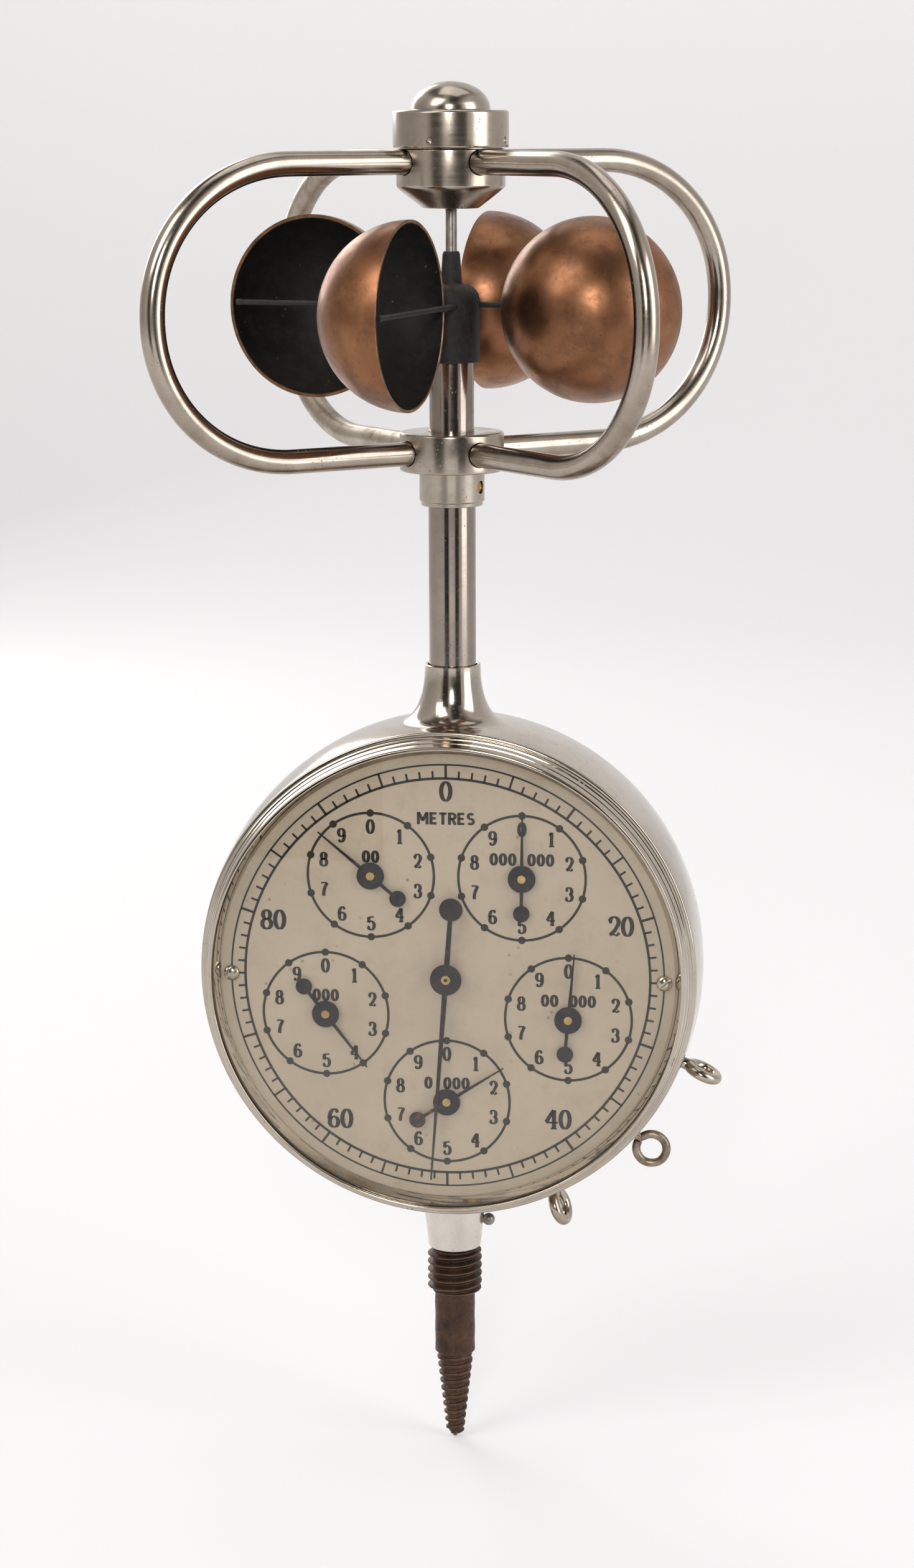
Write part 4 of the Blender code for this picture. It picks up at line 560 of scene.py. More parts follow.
def make_case():
    pts = [(band(-11.2 + 22.2 * k / 24), -11.2 + 22.2 * k / 24) for k in range(1, 24)]
    outer = [(band(-11.2), -11.2, 0.35)] + [(r, y, 0) for r, y in pts] + [(band(11.0), 11.0, 0.5)]
    prof = outer + [(41.6, 11.0, 0.15), (41.6, 9.4, 0), (40.4, 9.4, 0), (40.4, 7.8, 0), (42.0, 6.2, 0),
                    (42.0, -7.2, 0), (39.0, -7.2, 0), (39.0, -9.0, 0), (42.35, -9.0, 0), (42.35, -11.2, 0.15)]
    bm = lathe(rounded(prof, 0), 256, matrix=at_dial())
    case = finish_mesh("case_shell", bm, MAT["case"], "frame", ["case_body"])
    bm = bmesh.new()
    rings = []
    rows, segs = 40, 96
    for i in range(rows + 1):
        ph = math.pi / 2 * i / rows
        drop = math.sin(ph) ** (2 / 2.3)
        spread = 1 - math.cos(ph) ** (2 / 2.3)
        ring = []
        for k in range(segs):
            a = 2 * math.pi * k / segs
            r = 4.89 + (9.75 - 4.89) * spread
            x, y = r * math.cos(a), r * math.sin(a)
            top = ZC + math.sqrt(band(y) ** 2 - x ** 2)
            ring.append(bm.verts.new((x, y, 106.9 + (top + 0.02 - 106.9) * drop)))
        rings.append(ring)
    rings.append([bm.verts.new((v.co.x, v.co.y, v.co.z - 1.2)) for v in rings[-1]])
    for a, b in zip(rings, rings[1:]):
        skin(bm, a, b)
    rim = [circle(bm, r, z, segs) for r, z in ((4.75, 107.0), (4.45, 107.0), (4.35, 106.9), (4.35, 99.0))]
    chain = [rings[0]] + rim
    for a, b in zip(chain, chain[1:]):
        skin(bm, a, b)
    bm.faces.new(rim[-1])
    bm.faces.new(rings[-1])
    bmesh.ops.recalc_face_normals(bm, faces=bm.faces)
    finish_mesh("case_neck", bm, MAT["case"], "frame", ())
    out = Vector(clock(EYE_CLOCK, 1.0))
    reach = EYE_RING + math.hypot(*PIVOT)
    half = reach * math.radians(2.3) + 0.8 + 0.6
    side = Vector((-out.y, out.x))
    corners = []
    for k in range(12):
        a = math.pi * k / 11
        corners.append((half - 1.4 + 1.4 * math.sin(a), -1.4 * math.cos(a)))
    for k in range(12):
        a = math.pi * k / 11
        corners.append((-half + 1.4 - 1.4 * math.sin(a), 1.4 * math.cos(a)))
    cut_bm = bmesh.new()
    near, far = [], []
    for s, w in corners:
        p = out * 38.5 + side * s
        q = out * 48.0 + side * s
        near.append(cut_bm.verts.new((p.x, LEVER_Y + w, ZC + p.y)))
        far.append(cut_bm.verts.new((q.x, LEVER_Y + w, ZC + q.y)))
    cut_bm.faces.new(near)
    cut_bm.faces.new(list(reversed(far)))
    for i in range(len(near)):
        j = (i + 1) % len(near)
        cut_bm.faces.new((near[i], far[i], far[j], near[j]))
    cutters = [tool(cut_bm)]
    for ang, ring, _ in GUIDES.values():
        d = Vector((clock(ang, 1.0)[0], 0, clock(ang, 1.0)[1]))
        hole = lathe([(0, 38.5), (1.1, 38.5), (1.1, 47), (0, 47)], 40, matrix=align(d, (0, LEVER_Y, ZC)))
        cutters.append(tool(hole))
    bool_cut(case, cutters)


def make_covers():
    prof = [(0, 12.5), (30, 12.5, 2), (37.3, 12.0, 0.8), (40.7, 11.0, 0.3), (41.3, 10.4, 0.3), (41.3, 9.7, 0),
            (40.1, 9.7, 0), (40.1, 8.1, 0), (38.9, 8.1, 0), (38.9, 9.9, 0), (30, 11.3, 0), (0, 11.3)]
    finish_mesh("back_cover", lathe(rounded(prof, 0.2), 200, matrix=at_dial()), MAT["case"], "frame",
                ["rear_cover"])
    prof = [(41.0, -14.75, 0), (41.0, -15.05, 0.1), (41.15, -15.2, 0.1), (41.6, -15.15, 0.15),
            (41.75, -14.9, 0.15), (42.03, -13.86, 0.04), (42.05, -13.8, 0.03), (42.0, -13.7, 0.03),
            (42.2, -13.66, 0.04), (42.48, -12.6, 0.04), (42.5, -12.5, 0.03), (42.45, -12.42, 0.03),
            (42.7, -12.38, 0.04), (42.9, -11.8, 0.12), (42.9, -11.5, 0.1), (42.2, -11.5, 0), (42.2, -10.1, 0),
            (41.4, -10.1, 0), (41.4, -14.75, 0)]
    bm = lathe(rounded(prof, 0.1, steps=3), 320, matrix=at_dial())
    finish_mesh("bezel_fine", bm, MAT["bezel"], "frame",
                ["bezel_ring"], 25)
    prof = [(40.95, -13.25), (41.25, -13.25), (41.25, -11.71), (39.9, -11.71)]
    finish_mesh("reflector_fine", lathe(prof, 256, matrix=at_dial()), MAT["reflector"], "frame",
                ["reflector_flange"])
    prof = rounded([(0, -14.6), (41.25, -14.6, 0.2), (41.25, -13.4, 0.2), (0, -13.4)], 0.2)
    finish_mesh("glass_fine", lathe(prof, 160, matrix=at_dial()), MAT["glass"], "frame", ["dial_glass"])


# ------------------------------------------------------------------ dial and its print

DIAL_Y = -11.56
SUB_CENTRE_R = 22.45
PRINT_DEPTH = 0.03
DOT_DEPTH = 0.04
SUBS = {"hundreds": (324, 310.0, "00"), "thousands": (252, 142.5, "000"),
        "ten_thousands": (180, 57.0, "0 000"), "hundred_thousands": (108, 5.0, "00 000"),
        "millions": (36, 0.5, "000 000")}
SUB_R = 11.065


def ring_print(bm, cx, cz, r, w, segs):
    face = DIAL_Y - PRINT_DEPTH
    prof = [(r - w / 2, face), (r + w / 2, face), (r + w / 2, DIAL_Y), (r - w / 2, DIAL_Y)]
    lathe(prof, segs, bm, matrix=at_dial(cx, cz))


def dot_print(bm, cx, cz, r, depth, segs):
    face = DIAL_Y - depth
    lathe([(0, face), (r, face), (r, DIAL_Y), (0, DIAL_Y)], segs, bm, matrix=at_dial(cx, cz))


def tick(bm, cx, cz, angle, r0, r1, w):
    d = Vector(clock(angle, 1.0))
    s = Vector((d.y, -d.x)) * w / 2
    c = Vector((cx, cz))
    pts = [c + d * r0 - s, c + d * r1 - s, c + d * r1 + s, c + d * r0 + s]
    prism([tuple(p) for p in pts], DIAL_Y - PRINT_DEPTH, DIAL_Y, bm)


def ribbon(bm, pts, wide, thin, loop=False):
    """A pen stroke, broad where it runs upright and fine where it runs level."""
    rows = []
    n = len(pts)
    for i, p in enumerate(pts):
        a = Vector(pts[i - 1] if i or loop else p)
        b = Vector(pts[(i + 1) % n] if i < n - 1 or loop else p)
        d = (b - a).normalized()
        side = Vector((-d.y, d.x)) * math.hypot(wide * d.y, thin * d.x)
        left, right = Vector(p) + side, Vector(p) - side
        face = DIAL_Y - PRINT_DEPTH
        corners = ((left, face), (right, face), (right, DIAL_Y), (left, DIAL_Y))
        rows.append([bm.verts.new((v.x, y, ZC + v.y)) for v, y in corners])
    for a, b in zip(rows, rows[1:] + (rows[:1] if loop else [])):
        skin(bm, a, b)
    if not loop:
        bm.faces.new(rows[0])
        bm.faces.new(rows[-1])


def arc(cx, cz, rx, rz, start, end, steps=18):
    out = []
    for k in range(steps + 1):
        a = math.radians(start + (end - start) * k / steps)
        out.append((cx + rx * math.cos(a), cz + rz * math.sin(a)))
    return out


def oval(cx, cz, rx, rz):
    return arc(cx, cz, rx, rz, 0, 351, 39)


# strokes of each digit in a box one unit high: (points, closed), then the round stroke ends
DIGITS = {
    "0": ([(oval(0, 0, 0.21, 0.43), True)], []),
    "1": ([([(0.02, 0.46), (0.02, -0.44)], False), ([(-0.16, 0.29), (-0.06, 0.33), (0.02, 0.44)], False),
           ([(-0.16, -0.45), (0.2, -0.45)], False)], []),
    "2": ([(arc(0, 0.2, 0.2, 0.24, 170, -25) + [(0.02, -0.2), (-0.2, -0.4)], False),
           ([(-0.2, -0.41), (-0.02, -0.37), (0.12, -0.43), (0.22, -0.3)], False)], [(-0.17, 0.21)]),
    "3": ([(arc(-0.02, 0.21, 0.19, 0.23, 155, -85), False), (arc(-0.02, -0.2, 0.22, 0.24, 85, -160), False)],
          [(-0.17, 0.25), (-0.19, -0.25)]),
    "4": ([([(0.08, 0.44), (-0.12, 0.12), (-0.27, -0.15)], False), ([(-0.28, -0.16), (0.27, -0.16)], False),
           ([(0.09, 0.44), (0.09, -0.44)], False), ([(-0.06, -0.45), (0.22, -0.45)], False)], []),
    "5": ([([(-0.16, 0.4), (0.02, 0.42), (0.2, 0.44)], False), ([(-0.16, 0.42), (-0.17, 0.05)], False),
           (arc(-0.01, -0.14, 0.22, 0.29, 138, -155), False)], [(-0.18, -0.24)]),
    "6": ([(arc(0.03, 0, 0.24, 0.43, 60, 185), False), (oval(0, -0.18, 0.2, 0.25), True)], [(0.14, 0.34)]),
    "7": ([([(-0.21, 0.4), (-0.05, 0.43), (0.22, 0.41)], False),
           ([(0.22, 0.42), (0.05, 0.08), (-0.02, -0.18), (-0.03, -0.45)], False)], []),
    "8": ([(oval(0, 0.22, 0.165, 0.21), True), (oval(0, -0.21, 0.205, 0.235), True)], []),
}
DIGITS["9"] = ([([(-x, -z) for x, z in pts], closed) for pts, closed in DIGITS["6"][0]], [(-0.14, -0.34)])


def digits(bm, text, height, cx, cz, advance, squeeze=1.0, wide=0.088, thin=0.036, gap=1.1):
    """Upright numerals with broad stems and fine hairlines."""
    widths = [advance * (gap if ch == " " else 1.0) for ch in text]
    x = cx - sum(widths) / 2
    for ch, w in zip(text, widths):
        mid = x + w / 2
        x += w
        if ch == " ":
            continue
        strokes, balls = DIGITS[ch]
        for pts, closed in strokes:
            ribbon(bm, [(mid + px * height * squeeze, cz + pz * height) for px, pz in pts],
                   wide * height, thin * height, closed)
        for px, pz in balls:
            dot_print(bm, mid + px * height * squeeze, cz + pz * height, 0.085 * height, PRINT_DEPTH, 16)


LETTERS = {
    "M": [[(-0.35, -0.5), (-0.35, 0.5)], [(-0.33, 0.48), (0, -0.2)], [(0, -0.2), (0.33, 0.48)],
          [(0.35, -0.5), (0.35, 0.5)]],
    "E": [[(-0.22, -0.5), (-0.22, 0.5)], [(-0.22, 0.41), (0.24, 0.41)], [(-0.22, 0.0), (0.18, 0.0)],
          [(-0.22, -0.41), (0.24, -0.41)]],
    "T": [[(0, -0.5), (0, 0.5)], [(-0.3, 0.41), (0.3, 0.41)]],
    "R": [[(-0.22, -0.5), (-0.22, 0.5)],
          [(-0.22, 0.41), (0.03, 0.41)] + arc(0.03, 0.2, 0.21, 0.21, 90, -90) + [(-0.22, -0.01)],
          [(0.0, 0.0), (0.26, -0.5)]],
    "S": [arc(0.0, 0.21, 0.2, 0.21, 30, 270) + arc(0.0, -0.21, 0.21, 0.21, 90, -150)],
}


def unit_word(bm, text, height, cx, cz):
    """A plain bold word with an even pen."""
    widths = [height * (1.02 if ch == "M" else 0.75) for ch in text]
    x = cx - sum(widths) / 2
    for ch, w in zip(text, widths):
        for pts in LETTERS[ch]:
            ribbon(bm, [(x + w / 2 + px * height, cz + pz * height) for px, pz in pts],
                   0.125 * height, 0.095 * height)
        x += w


def make_dial():
    prof = [(0.9, DIAL_Y), (41.0, DIAL_Y), (41.0, DIAL_Y + 0.8), (0.9, DIAL_Y + 0.8)]
    finish_mesh("dial_face", lathe(prof, 256, matrix=at_dial()), MAT["dial"], "frame", ["dial_plate"])
    bm = bmesh.new()
    ring_print(bm, 0, 0, 38.0, 0.3, 256)
    ring_print(bm, 0, 0, 35.57, 0.44, 256)
    for k in range(100):
        tick(bm, 0, 0, 3.6 * k, 35.57, 38.0 if k % 5 == 0 else 36.9, 0.44 if k % 10 == 0 else 0.36)
    for text, x, z in (("0", 0, 33.3), ("20", 30.4, 10.0), ("40", 19.7, -25.2), ("60", -19.0, -26.2),
                       ("80", -30.5, 9.8)):
        digits(bm, text, 3.8, x, z, 2.3, 1.0, 0.1, 0.042)
    unit_word(bm, "METRES", 2.15, 0, 28.5)
    for where, _, label in SUBS.values():
        cx, cz = clock(where, SUB_CENTRE_R)
        ring_print(bm, cx, cz, SUB_R, 0.44, 128)
        for k in range(10):
            x, z = clock(36 * k, SUB_R)
            dot_print(bm, cx + x, cz + z, 0.66, DOT_DEPTH, 28)
            x, z = clock(36 * k, 8.65)
            digits(bm, str(k), 2.7, cx + x, cz + z, 1.5, 0.92, 0.11, 0.05)
        digits(bm, label, 2.2, cx, cz + 3.3, 1.6, 0.98, 0.135, 0.065)
    finish_mesh("dial_print", bm, MAT["ink"], "frame", (), 30)


def slotted_head(name, x, node):
    prof = [(0, -12.42), (0.5, -12.38), (0.95, -12.22), (1.28, -11.98), (1.4, -11.78), (1.4, -11.7),
            (0.7, -11.7), (0.7, -9.4), (0, -9.4)]
    ob = finish_mesh(name, lathe(prof, 64, matrix=at_dial(x)), MAT["screw"], "frame", [node])
    c, s = math.cos(math.radians(40)), math.sin(math.radians(40))
    half, w = 2.0, 0.17
    pts = [(x + half * c - w * s, half * s + w * c), (x - half * c - w * s, -half * s + w * c),
           (x - half * c + w * s, -half * s - w * c), (x + half * c + w * s, half * s - w * c)]
    bool_cut(ob, [tool(prism(pts, -13.5, -12.0))])


def make_hand(name, cx, cz, rest, length, tail, hub_r, weight_r, y, body, node, mat, tipw, basew, brass_r):
    bm = bmesh.new()
    n = 24
    left, right = [], []
    for k in range(n + 1):
        s = k / n
        z = hub_r * 0.5 + (length - hub_r * 0.5) * s
        w = basew * (1 - s) + tipw * s
        left.append((-w / 2, z))
        right.append((w / 2, z))
    prism(left + list(reversed(right)), y, y + 0.18, bm)
    prism([(-basew / 2, -hub_r * 0.5), (basew / 2, -hub_r * 0.5), (basew * 0.42, -tail + weight_r * 0.4),
           (-basew * 0.42, -tail + weight_r * 0.4)], y, y + 0.18, bm)
    for r, z in ((hub_r, 0.0), (weight_r, -tail)):
        prof = rounded([(0, y - 0.05), (r, y - 0.05, 0.08), (r, y + 0.2, 0.04), (0, y + 0.2)], 0.05)
        lathe(prof, 64, bm, matrix=Matrix.Translation((0, 0, ZC + z)) @ TO_Y)
    turn = Matrix.Translation((0, 0, ZC)) @ Matrix.Rotation(math.radians(rest), 4, "Y") \
        @ Matrix.Translation((0, 0, -ZC))
    bmesh.ops.transform(bm, matrix=Matrix.Translation((cx, 0, cz)) @ turn, verts=bm.verts)
    finish_mesh(name, bm, MAT[mat], body, [node], 30)
    if brass_r:
        bm = lathe(rounded([(0, y + 0.1), (0.28, y + 0.1), (0.3, y - 0.16), (brass_r, y - 0.2, 0.08),
                            (brass_r, y + 0.15), (0, y + 0.15)], 0.03), 40, matrix=at_dial(cx, cz))
        finish_mesh(name + "_collet", bm, MAT["brass"], body, ())


def make_hands():
    make_hand("pointer_main", 0, 0, 184.3, 36.7, 12.65, 2.76, 2.04, -13.1, "centre", "main_hand", "hand",
              0.28, 0.95, 0.8)
    for name, (where, rest, _) in SUBS.items():
        cx, cz = clock(where, SUB_CENTRE_R)
        make_hand("pointer_" + name, cx, cz, rest, 11.95, 6.2, 2.4, 1.44, -12.35, "counter_" + name,
                  "hand_" + name, "red_hand" if name == "ten_thousands" else "hand", 0.22, 0.62, 0.72)


# ------------------------------------------------------------------ stem, collar, hub and bows

def make_stem():
    prof = [(2.7, 97.9), (4.1, 97.9), (4.1, 142.0), (3.86, 142.0), (3.86, 163.2, 0.2), (2.7, 163.2, 0.1)]
    finish_mesh("stem_fine", lathe(rounded(prof, 0), 96), MAT["tube"], "frame", ["stem_tube"])
    prof = [(4.25, 134.8, 0.1), (5.35, 134.8, 0.2), (5.35, 135.5, 0.1), (5.64, 135.6, 0.15),
            (5.64, 140.8, 0.1), (8.98, 140.8, 0.35), (8.98, 147.5, 0.45), (4.01, 147.5, 0.1),
            (4.01, 142.3, 0), (4.25, 142.3, 0)]
    collar = finish_mesh("collar_fine", lathe(rounded(prof, 0.1), 128), MAT["hub"], "frame", ["lower_collar"])
    cutters = []
    for k in range(4):
        cutters.append(tool(lathe([(0, 6.5), (2.2, 6.5), (2.2, 11), (0, 11)], 48,
                                  matrix=align(polar(1, -141.4 + 90 * k), (0, 0, 144.1)))))
    cutters.append(tool(lathe([(0, 4.4), (1.1, 4.4), (1.1, 7), (0, 7)], 32,
                              matrix=align(polar(1, -22), (0, 0, 138.1)))))
    bool_cut(collar, cutters)
    bm = lathe(rounded([(0, 4.3), (0.95, 4.3), (0.95, 5.3, 0.1), (0, 5.3)], 0), 32,
               matrix=align(polar(1, -22), (0, 0, 138.1)))
    finish_mesh("collar_grub", bm, MAT["brass"], "frame", ["collar_set_screw"])
    prof = [(2.0, 185.3), (4.7, 185.3, 0.25), (8.5, 188.2, 0.5), (9.26, 188.9, 0.35), (9.26, 195.1, 0.1),
            (8.66, 195.25), (8.66, 197.4), (2.0, 197.4)]
    hub = finish_mesh("hub_fine", lathe(rounded(prof, 0), 128), MAT["hub"], "frame", ["upper_hub"])
    cutters = [tool(lathe([(0, 6.5), (2.2, 6.5), (2.2, 11), (0, 11)], 48,
                          matrix=align(polar(1, -141.4 + 90 * k), (0, 0, 193.0)))) for k in range(4)]
    bool_cut(hub, cutters)
    dome = []
    for k in range(19):
        a = math.pi / 2 * k / 18
        dome.append((6.7 * math.cos(a), 201.75 + (206.4 - 201.75) * math.sin(a), 0))
    dome[-1] = (0, 206.4, 0)
    prof = [(8.81, 195.4, 0), (9.7, 195.4, 0.2), (9.83, 195.65, 0.15), (9.83, 201.3, 0.4), (9.5, 201.6, 0.3),
            (6.95, 201.6, 0.15)] + dome + [(0, 197.7, 0), (8.81, 197.7, 0)]
    cap = finish_mesh("cap_fine", lathe(rounded(prof, 0), 160), MAT["hub"], "frame", ["top_cap"])
    cutters = []
    for az in (-105, -15, 75, 165):
        p = polar(9.95, az, 196.6)
        cutters.append(tool(lathe(ball_profile(0.62, 12), 28, closed=False, matrix=Matrix.Translation(p))))
    bool_cut(cap, cutters)


def make_bows():
    zu, zl, reach, curve, seat = 193.0, 144.1, 57.1, 25.9, 5.6
    mid, rise = (zu + zl) / 2, (zu - zl) / 2
    for i in range(4):
        az = -141.4 + 90 * i
        pts = [(seat + (reach - curve - seat) * k / 12, zu) for k in range(12)]
        for k in range(73):
            a = math.pi / 2 - math.pi * k / 72
            c, s = math.cos(a), math.sin(a)
            e = 2 / 2.06
            pts.append((reach - curve + curve * abs(c) ** e, mid + rise * math.copysign(abs(s) ** e, s)))
        pts += [(seat + (reach - curve - seat) * (1 - k / 12), zl) for k in range(1, 13)]
        path = [polar(r, az, z) for r, z in pts]
        mat = "speckled_bow" if i == 3 else "bow"
        finish_mesh(f"bow_fine_{i + 1}", sweep(path, 2.07, 32), MAT[mat], "frame", [f"guard_bow_{i + 1}"])


# ------------------------------------------------------------------ rotor

CUP_Z, ARM_Z = 168.5, 169.0


def make_rotor():
    prof = [(0, 56.55), (0.35, 56.6), (0.5, 56.9), (0.5, 58.25), (0.8, 58.55), (0.8, 80.0), (0.97, 80.0),
            (0.97, 194.5), (0.35, 195.8), (0, 195.8)]
    finish_mesh("spindle_fine", lathe(prof, 40), MAT["steel"], "rotor", ["spindle"])
    dome = []
    for k in range(13):
        a = math.pi / 2 * k / 12
        dome.append((1.95 + 2.95 * math.cos(a), 169.6 + 3.0 * math.sin(a), 0))
    prof = [(4.25, 159.4, 0.08), (4.9, 159.4, 0.15)] + dome + [(1.85, 172.7, 0.15), (1.5, 177.6, 0.1),
            (1.3, 178.1, 0.1), (1.1, 178.1, 0), (1.1, 163.9, 0), (4.25, 163.9, 0)]
    finish_mesh("rotor_fine", lathe(rounded(prof, 0), 96), MAT["hub_black"], "rotor", ["rotor_hub"])
    for i in range(4):
        ma = -14.2 + 90 * i
        d, t = polar(1, ma), polar(1, ma + 90)
        start = t * 2.2 + Vector((0, 0, ARM_Z))
        c = polar(24.84, -9.1 + 90 * i, CUP_Z)
        s_mid = c.dot(d)
        end = s_mid + 14.4
        near = s_mid - 15.1
        marks = [0.0, near - 2.4, near - 1.2, near - 0.3, near + 0.3, near + 1.0, s_mid, end - 1.2,
                 end - 0.5, end]
        rads = [0.5, 0.5, 0.52, 0.62, 0.62, 0.5, 0.48, 0.5, 0.58, 0.5]
        path = [start + d * s for s in marks]
        finish_mesh(f"arm_fine_{i + 1}", sweep(path, rads, 20), MAT["arm_black"], "rotor",
                    [f"cup_arm_{i + 1}"])
        R, r, depth = 15.67, 15.07, 0.98
        rows = 28
        outer = [(R * math.sin(math.pi / 2 * k / rows), -depth * R * math.cos(math.pi / 2 * k / rows))
                 for k in range(rows + 1)]
        inner = [(r * math.sin(math.pi / 2 * k / rows), -(depth * R - 0.6) * math.cos(math.pi / 2 * k / rows))
                 for k in range(rows, -1, -1)]
        outer[0] = (0, outer[0][1])
        inner[-1] = (0, inner[-1][1])
        bm = bmesh.new()
        segs = 112
        prof = outer[:-1] + [(R, -0.12), (R - 0.12, 0.0), (r + 0.12, 0.0), (r, -0.12)] + inner[1:]
        lathe(prof, segs, bm, closed=False, matrix=align(t, c))
        for f in bm.faces:
            q = f.calc_center_median() - c
            depth_in = -q.dot(t)
            rad = (q + t * depth_in).length
            shell = math.sqrt(rad ** 2 + (depth_in / depth) ** 2)
            if depth_in < 0.35:
                f.material_index = 1
            else:
                f.material_index = 2 if shell < (R + r) / 2 else 0
        cup = finish_mesh(f"cup_fine_{i + 1}", bm, [MAT["copper"], MAT["rim"], MAT["inside"]], "rotor",
                          [f"cup_{i + 1}"])
        notch = lathe([(0, 2), (0.6, 2), (0.6, s_mid), (0, s_mid)], 24, matrix=align(d, start))
        bool_cut(cup, [tool(notch)])


# ------------------------------------------------------------------ lever and guides

def make_lever():
    px, pz = PIVOT
    ex, ez = clock(EYE_CLOCK, EYE_RING)
    pivot, eye = Vector((px, pz)), Vector((ex, ez))
    line = (eye - pivot).normalized()
    side = Vector((-line.y, line.x))
    a1 = pivot + line * (pivot.length + 34)
    bm = bmesh.new()
    passing = pivot - line * pivot.dot(line)
    for p, q in ((pivot + line * 2.0, passing - line * 2.9), (passing + line * 2.9, a1)):
        prism([tuple(p + side * 1.8), tuple(q + side * 1.8), tuple(q - side * 1.8), tuple(p - side * 1.8)],
              3.45, 4.55, bm)
    lathe([(1.4, 3.4), (3.0, 3.4), (3.0, 4.6), (1.4, 4.6)], 48, bm, matrix=at_dial(px, pz))
    lathe([(2.8, 3.4), (4.4, 3.4), (4.4, 4.6), (2.8, 4.6)], 48, bm, matrix=at_dial())
    pin = Vector((0, 20.55))
    b0 = pivot * 0.7
    prism([(b0.x, b0.y + 1.1), (-5.0, 19.6), (1.2, 22.1), (1.2, 19.9), (-4.4, 17.5), (b0.x, b0.y - 1.1)],
          3.45, 4.55, bm)
    lathe([(0, 1.9), (0.6, 1.9), (0.6, 4.2), (0, 4.2)], 24, bm,
          matrix=Matrix.Translation((pin.x, 0, ZC + pin.y)) @ TO_Y)
    wire = 0.775
    rc = 3.5 - wire
    start = a1 - line * 3
    path = [Vector((start.x, LEVER_Y, ZC + start.y))]
    inward = -line
    join_at = eye + inward * rc
    path.append(Vector(((join_at - line * 1.4).x, LEVER_Y, ZC + (join_at - line * 1.4).y)))
    base = math.atan2(inward.y, inward.x)
    for k in range(1, 46):
        a = base + 0.16 - math.radians(352) * k / 45 - 0.1
        path.append(Vector((eye.x + rc * math.cos(a), LEVER_Y + 0.18 * math.sin(k / 45 * math.pi * 0.5),
                            ZC + eye.y + rc * math.sin(a))))
    sweep(path, wire, 24, bm)
    finish_mesh("lever_fine", bm, MAT["lever"], "lever", ["start_stop_lever"])
    for name, (ang, ring, twist) in GUIDES.items():
        d2 = Vector(clock(ang, 1.0))
        d = Vector((d2.x, 0, d2.y))
        c = Vector((0, LEVER_Y, ZC)) + d * ring
        n = Vector((0, 1, 0)).cross(d)
        n = Matrix.Rotation(math.radians(twist), 3, d) @ n
        v = n.cross(d).normalized()
        rw = 1.0
        rc = 3.65 - rw
        path = []
        for k in range(44):
            a = math.radians(8) + math.radians(344) * k / 43
            path.append(c - d * rc * math.cos(a) + v * rc * math.sin(a))
        bm = sweep(path, rw, 24)
        rads = [1.0, 1.0, 1.05, 1.15]
        foot = [c - d * (ring - 41.4), c - d * (ring - 44.4), c - d * (rc + 0.9), c - d * (rc - 0.1)]
        sweep(foot, rads, 24, bm)
        finish_mesh(f"guide_fine_{name}", bm, MAT["screw"], "frame", [f"guide_eye_{name}"])


# ------------------------------------------------------------------ socket and post screw

def screw_surface(bm, segs, rows, radius_at, z_top, z_end):
    """A surface of revolution whose radius also depends on the turn, for real helical threads."""
    rings = []
    for i in range(rows + 1):
        z = z_top + (z_end - z_top) * i / rows
        ring = []
        for k in range(segs):
            a = 2 * math.pi * k / segs
            r = radius_at(z, a)
            ring.append(bm.verts.new((r * math.cos(a), r * math.sin(a), z)))
        rings.append(ring)
    for a, b in zip(rings, rings[1:]):
        skin(bm, a, b)
    bm.faces.new(rings[0])
    bm.faces.new(rings[-1])


def ridge(z, a, pitch, sharp):
    phase = (z / pitch - a / (2 * math.pi)) % 1.0
    tri = 1 - abs(2 * phase - 1)
    return min(1.0, max(0.0, tri * sharp - (sharp - 1) * 0.5))


def smooth(x, lo, hi):
    t = min(1.0, max(0.0, (x - lo) / (hi - lo)))
    return t * t * (3 - 2 * t)


def post_radius(z, a):
    if z > -0.3:
        return 3.1 - 0.35 * smooth(z, 6.2, 6.6)
    if z > -8.8:
        env = smooth(-z, 0.35, 0.9) * (1 - smooth(-z, 8.0, 8.7))
        core = 4.05 + (3.62 - 4.05) * smooth(-z, 8.2, 8.8)
        return core + env * 0.86 * ridge(z, a, 1.5, 1.25)
    if z > -20.0:
        return 3.62 - 0.03 * math.sin(z * 1.3)
    s = (-20.0 - z) / 16.9
    core = 2.95 + (1.05 - 2.95) * s
    crest = 3.42 + (1.5 - 3.42) * s
    env = smooth(-z, 20.2, 21.4)
    thread = ridge(z, a, 1.53, 2.4) ** 1.4
    r = core + (crest - core) * env * thread
    if s > 0.93:
        r *= 1 - 0.75 * smooth(s, 0.93, 1.0)
    return r + (3.62 - core) * (1 - smooth(-z, 20.0, 20.4))


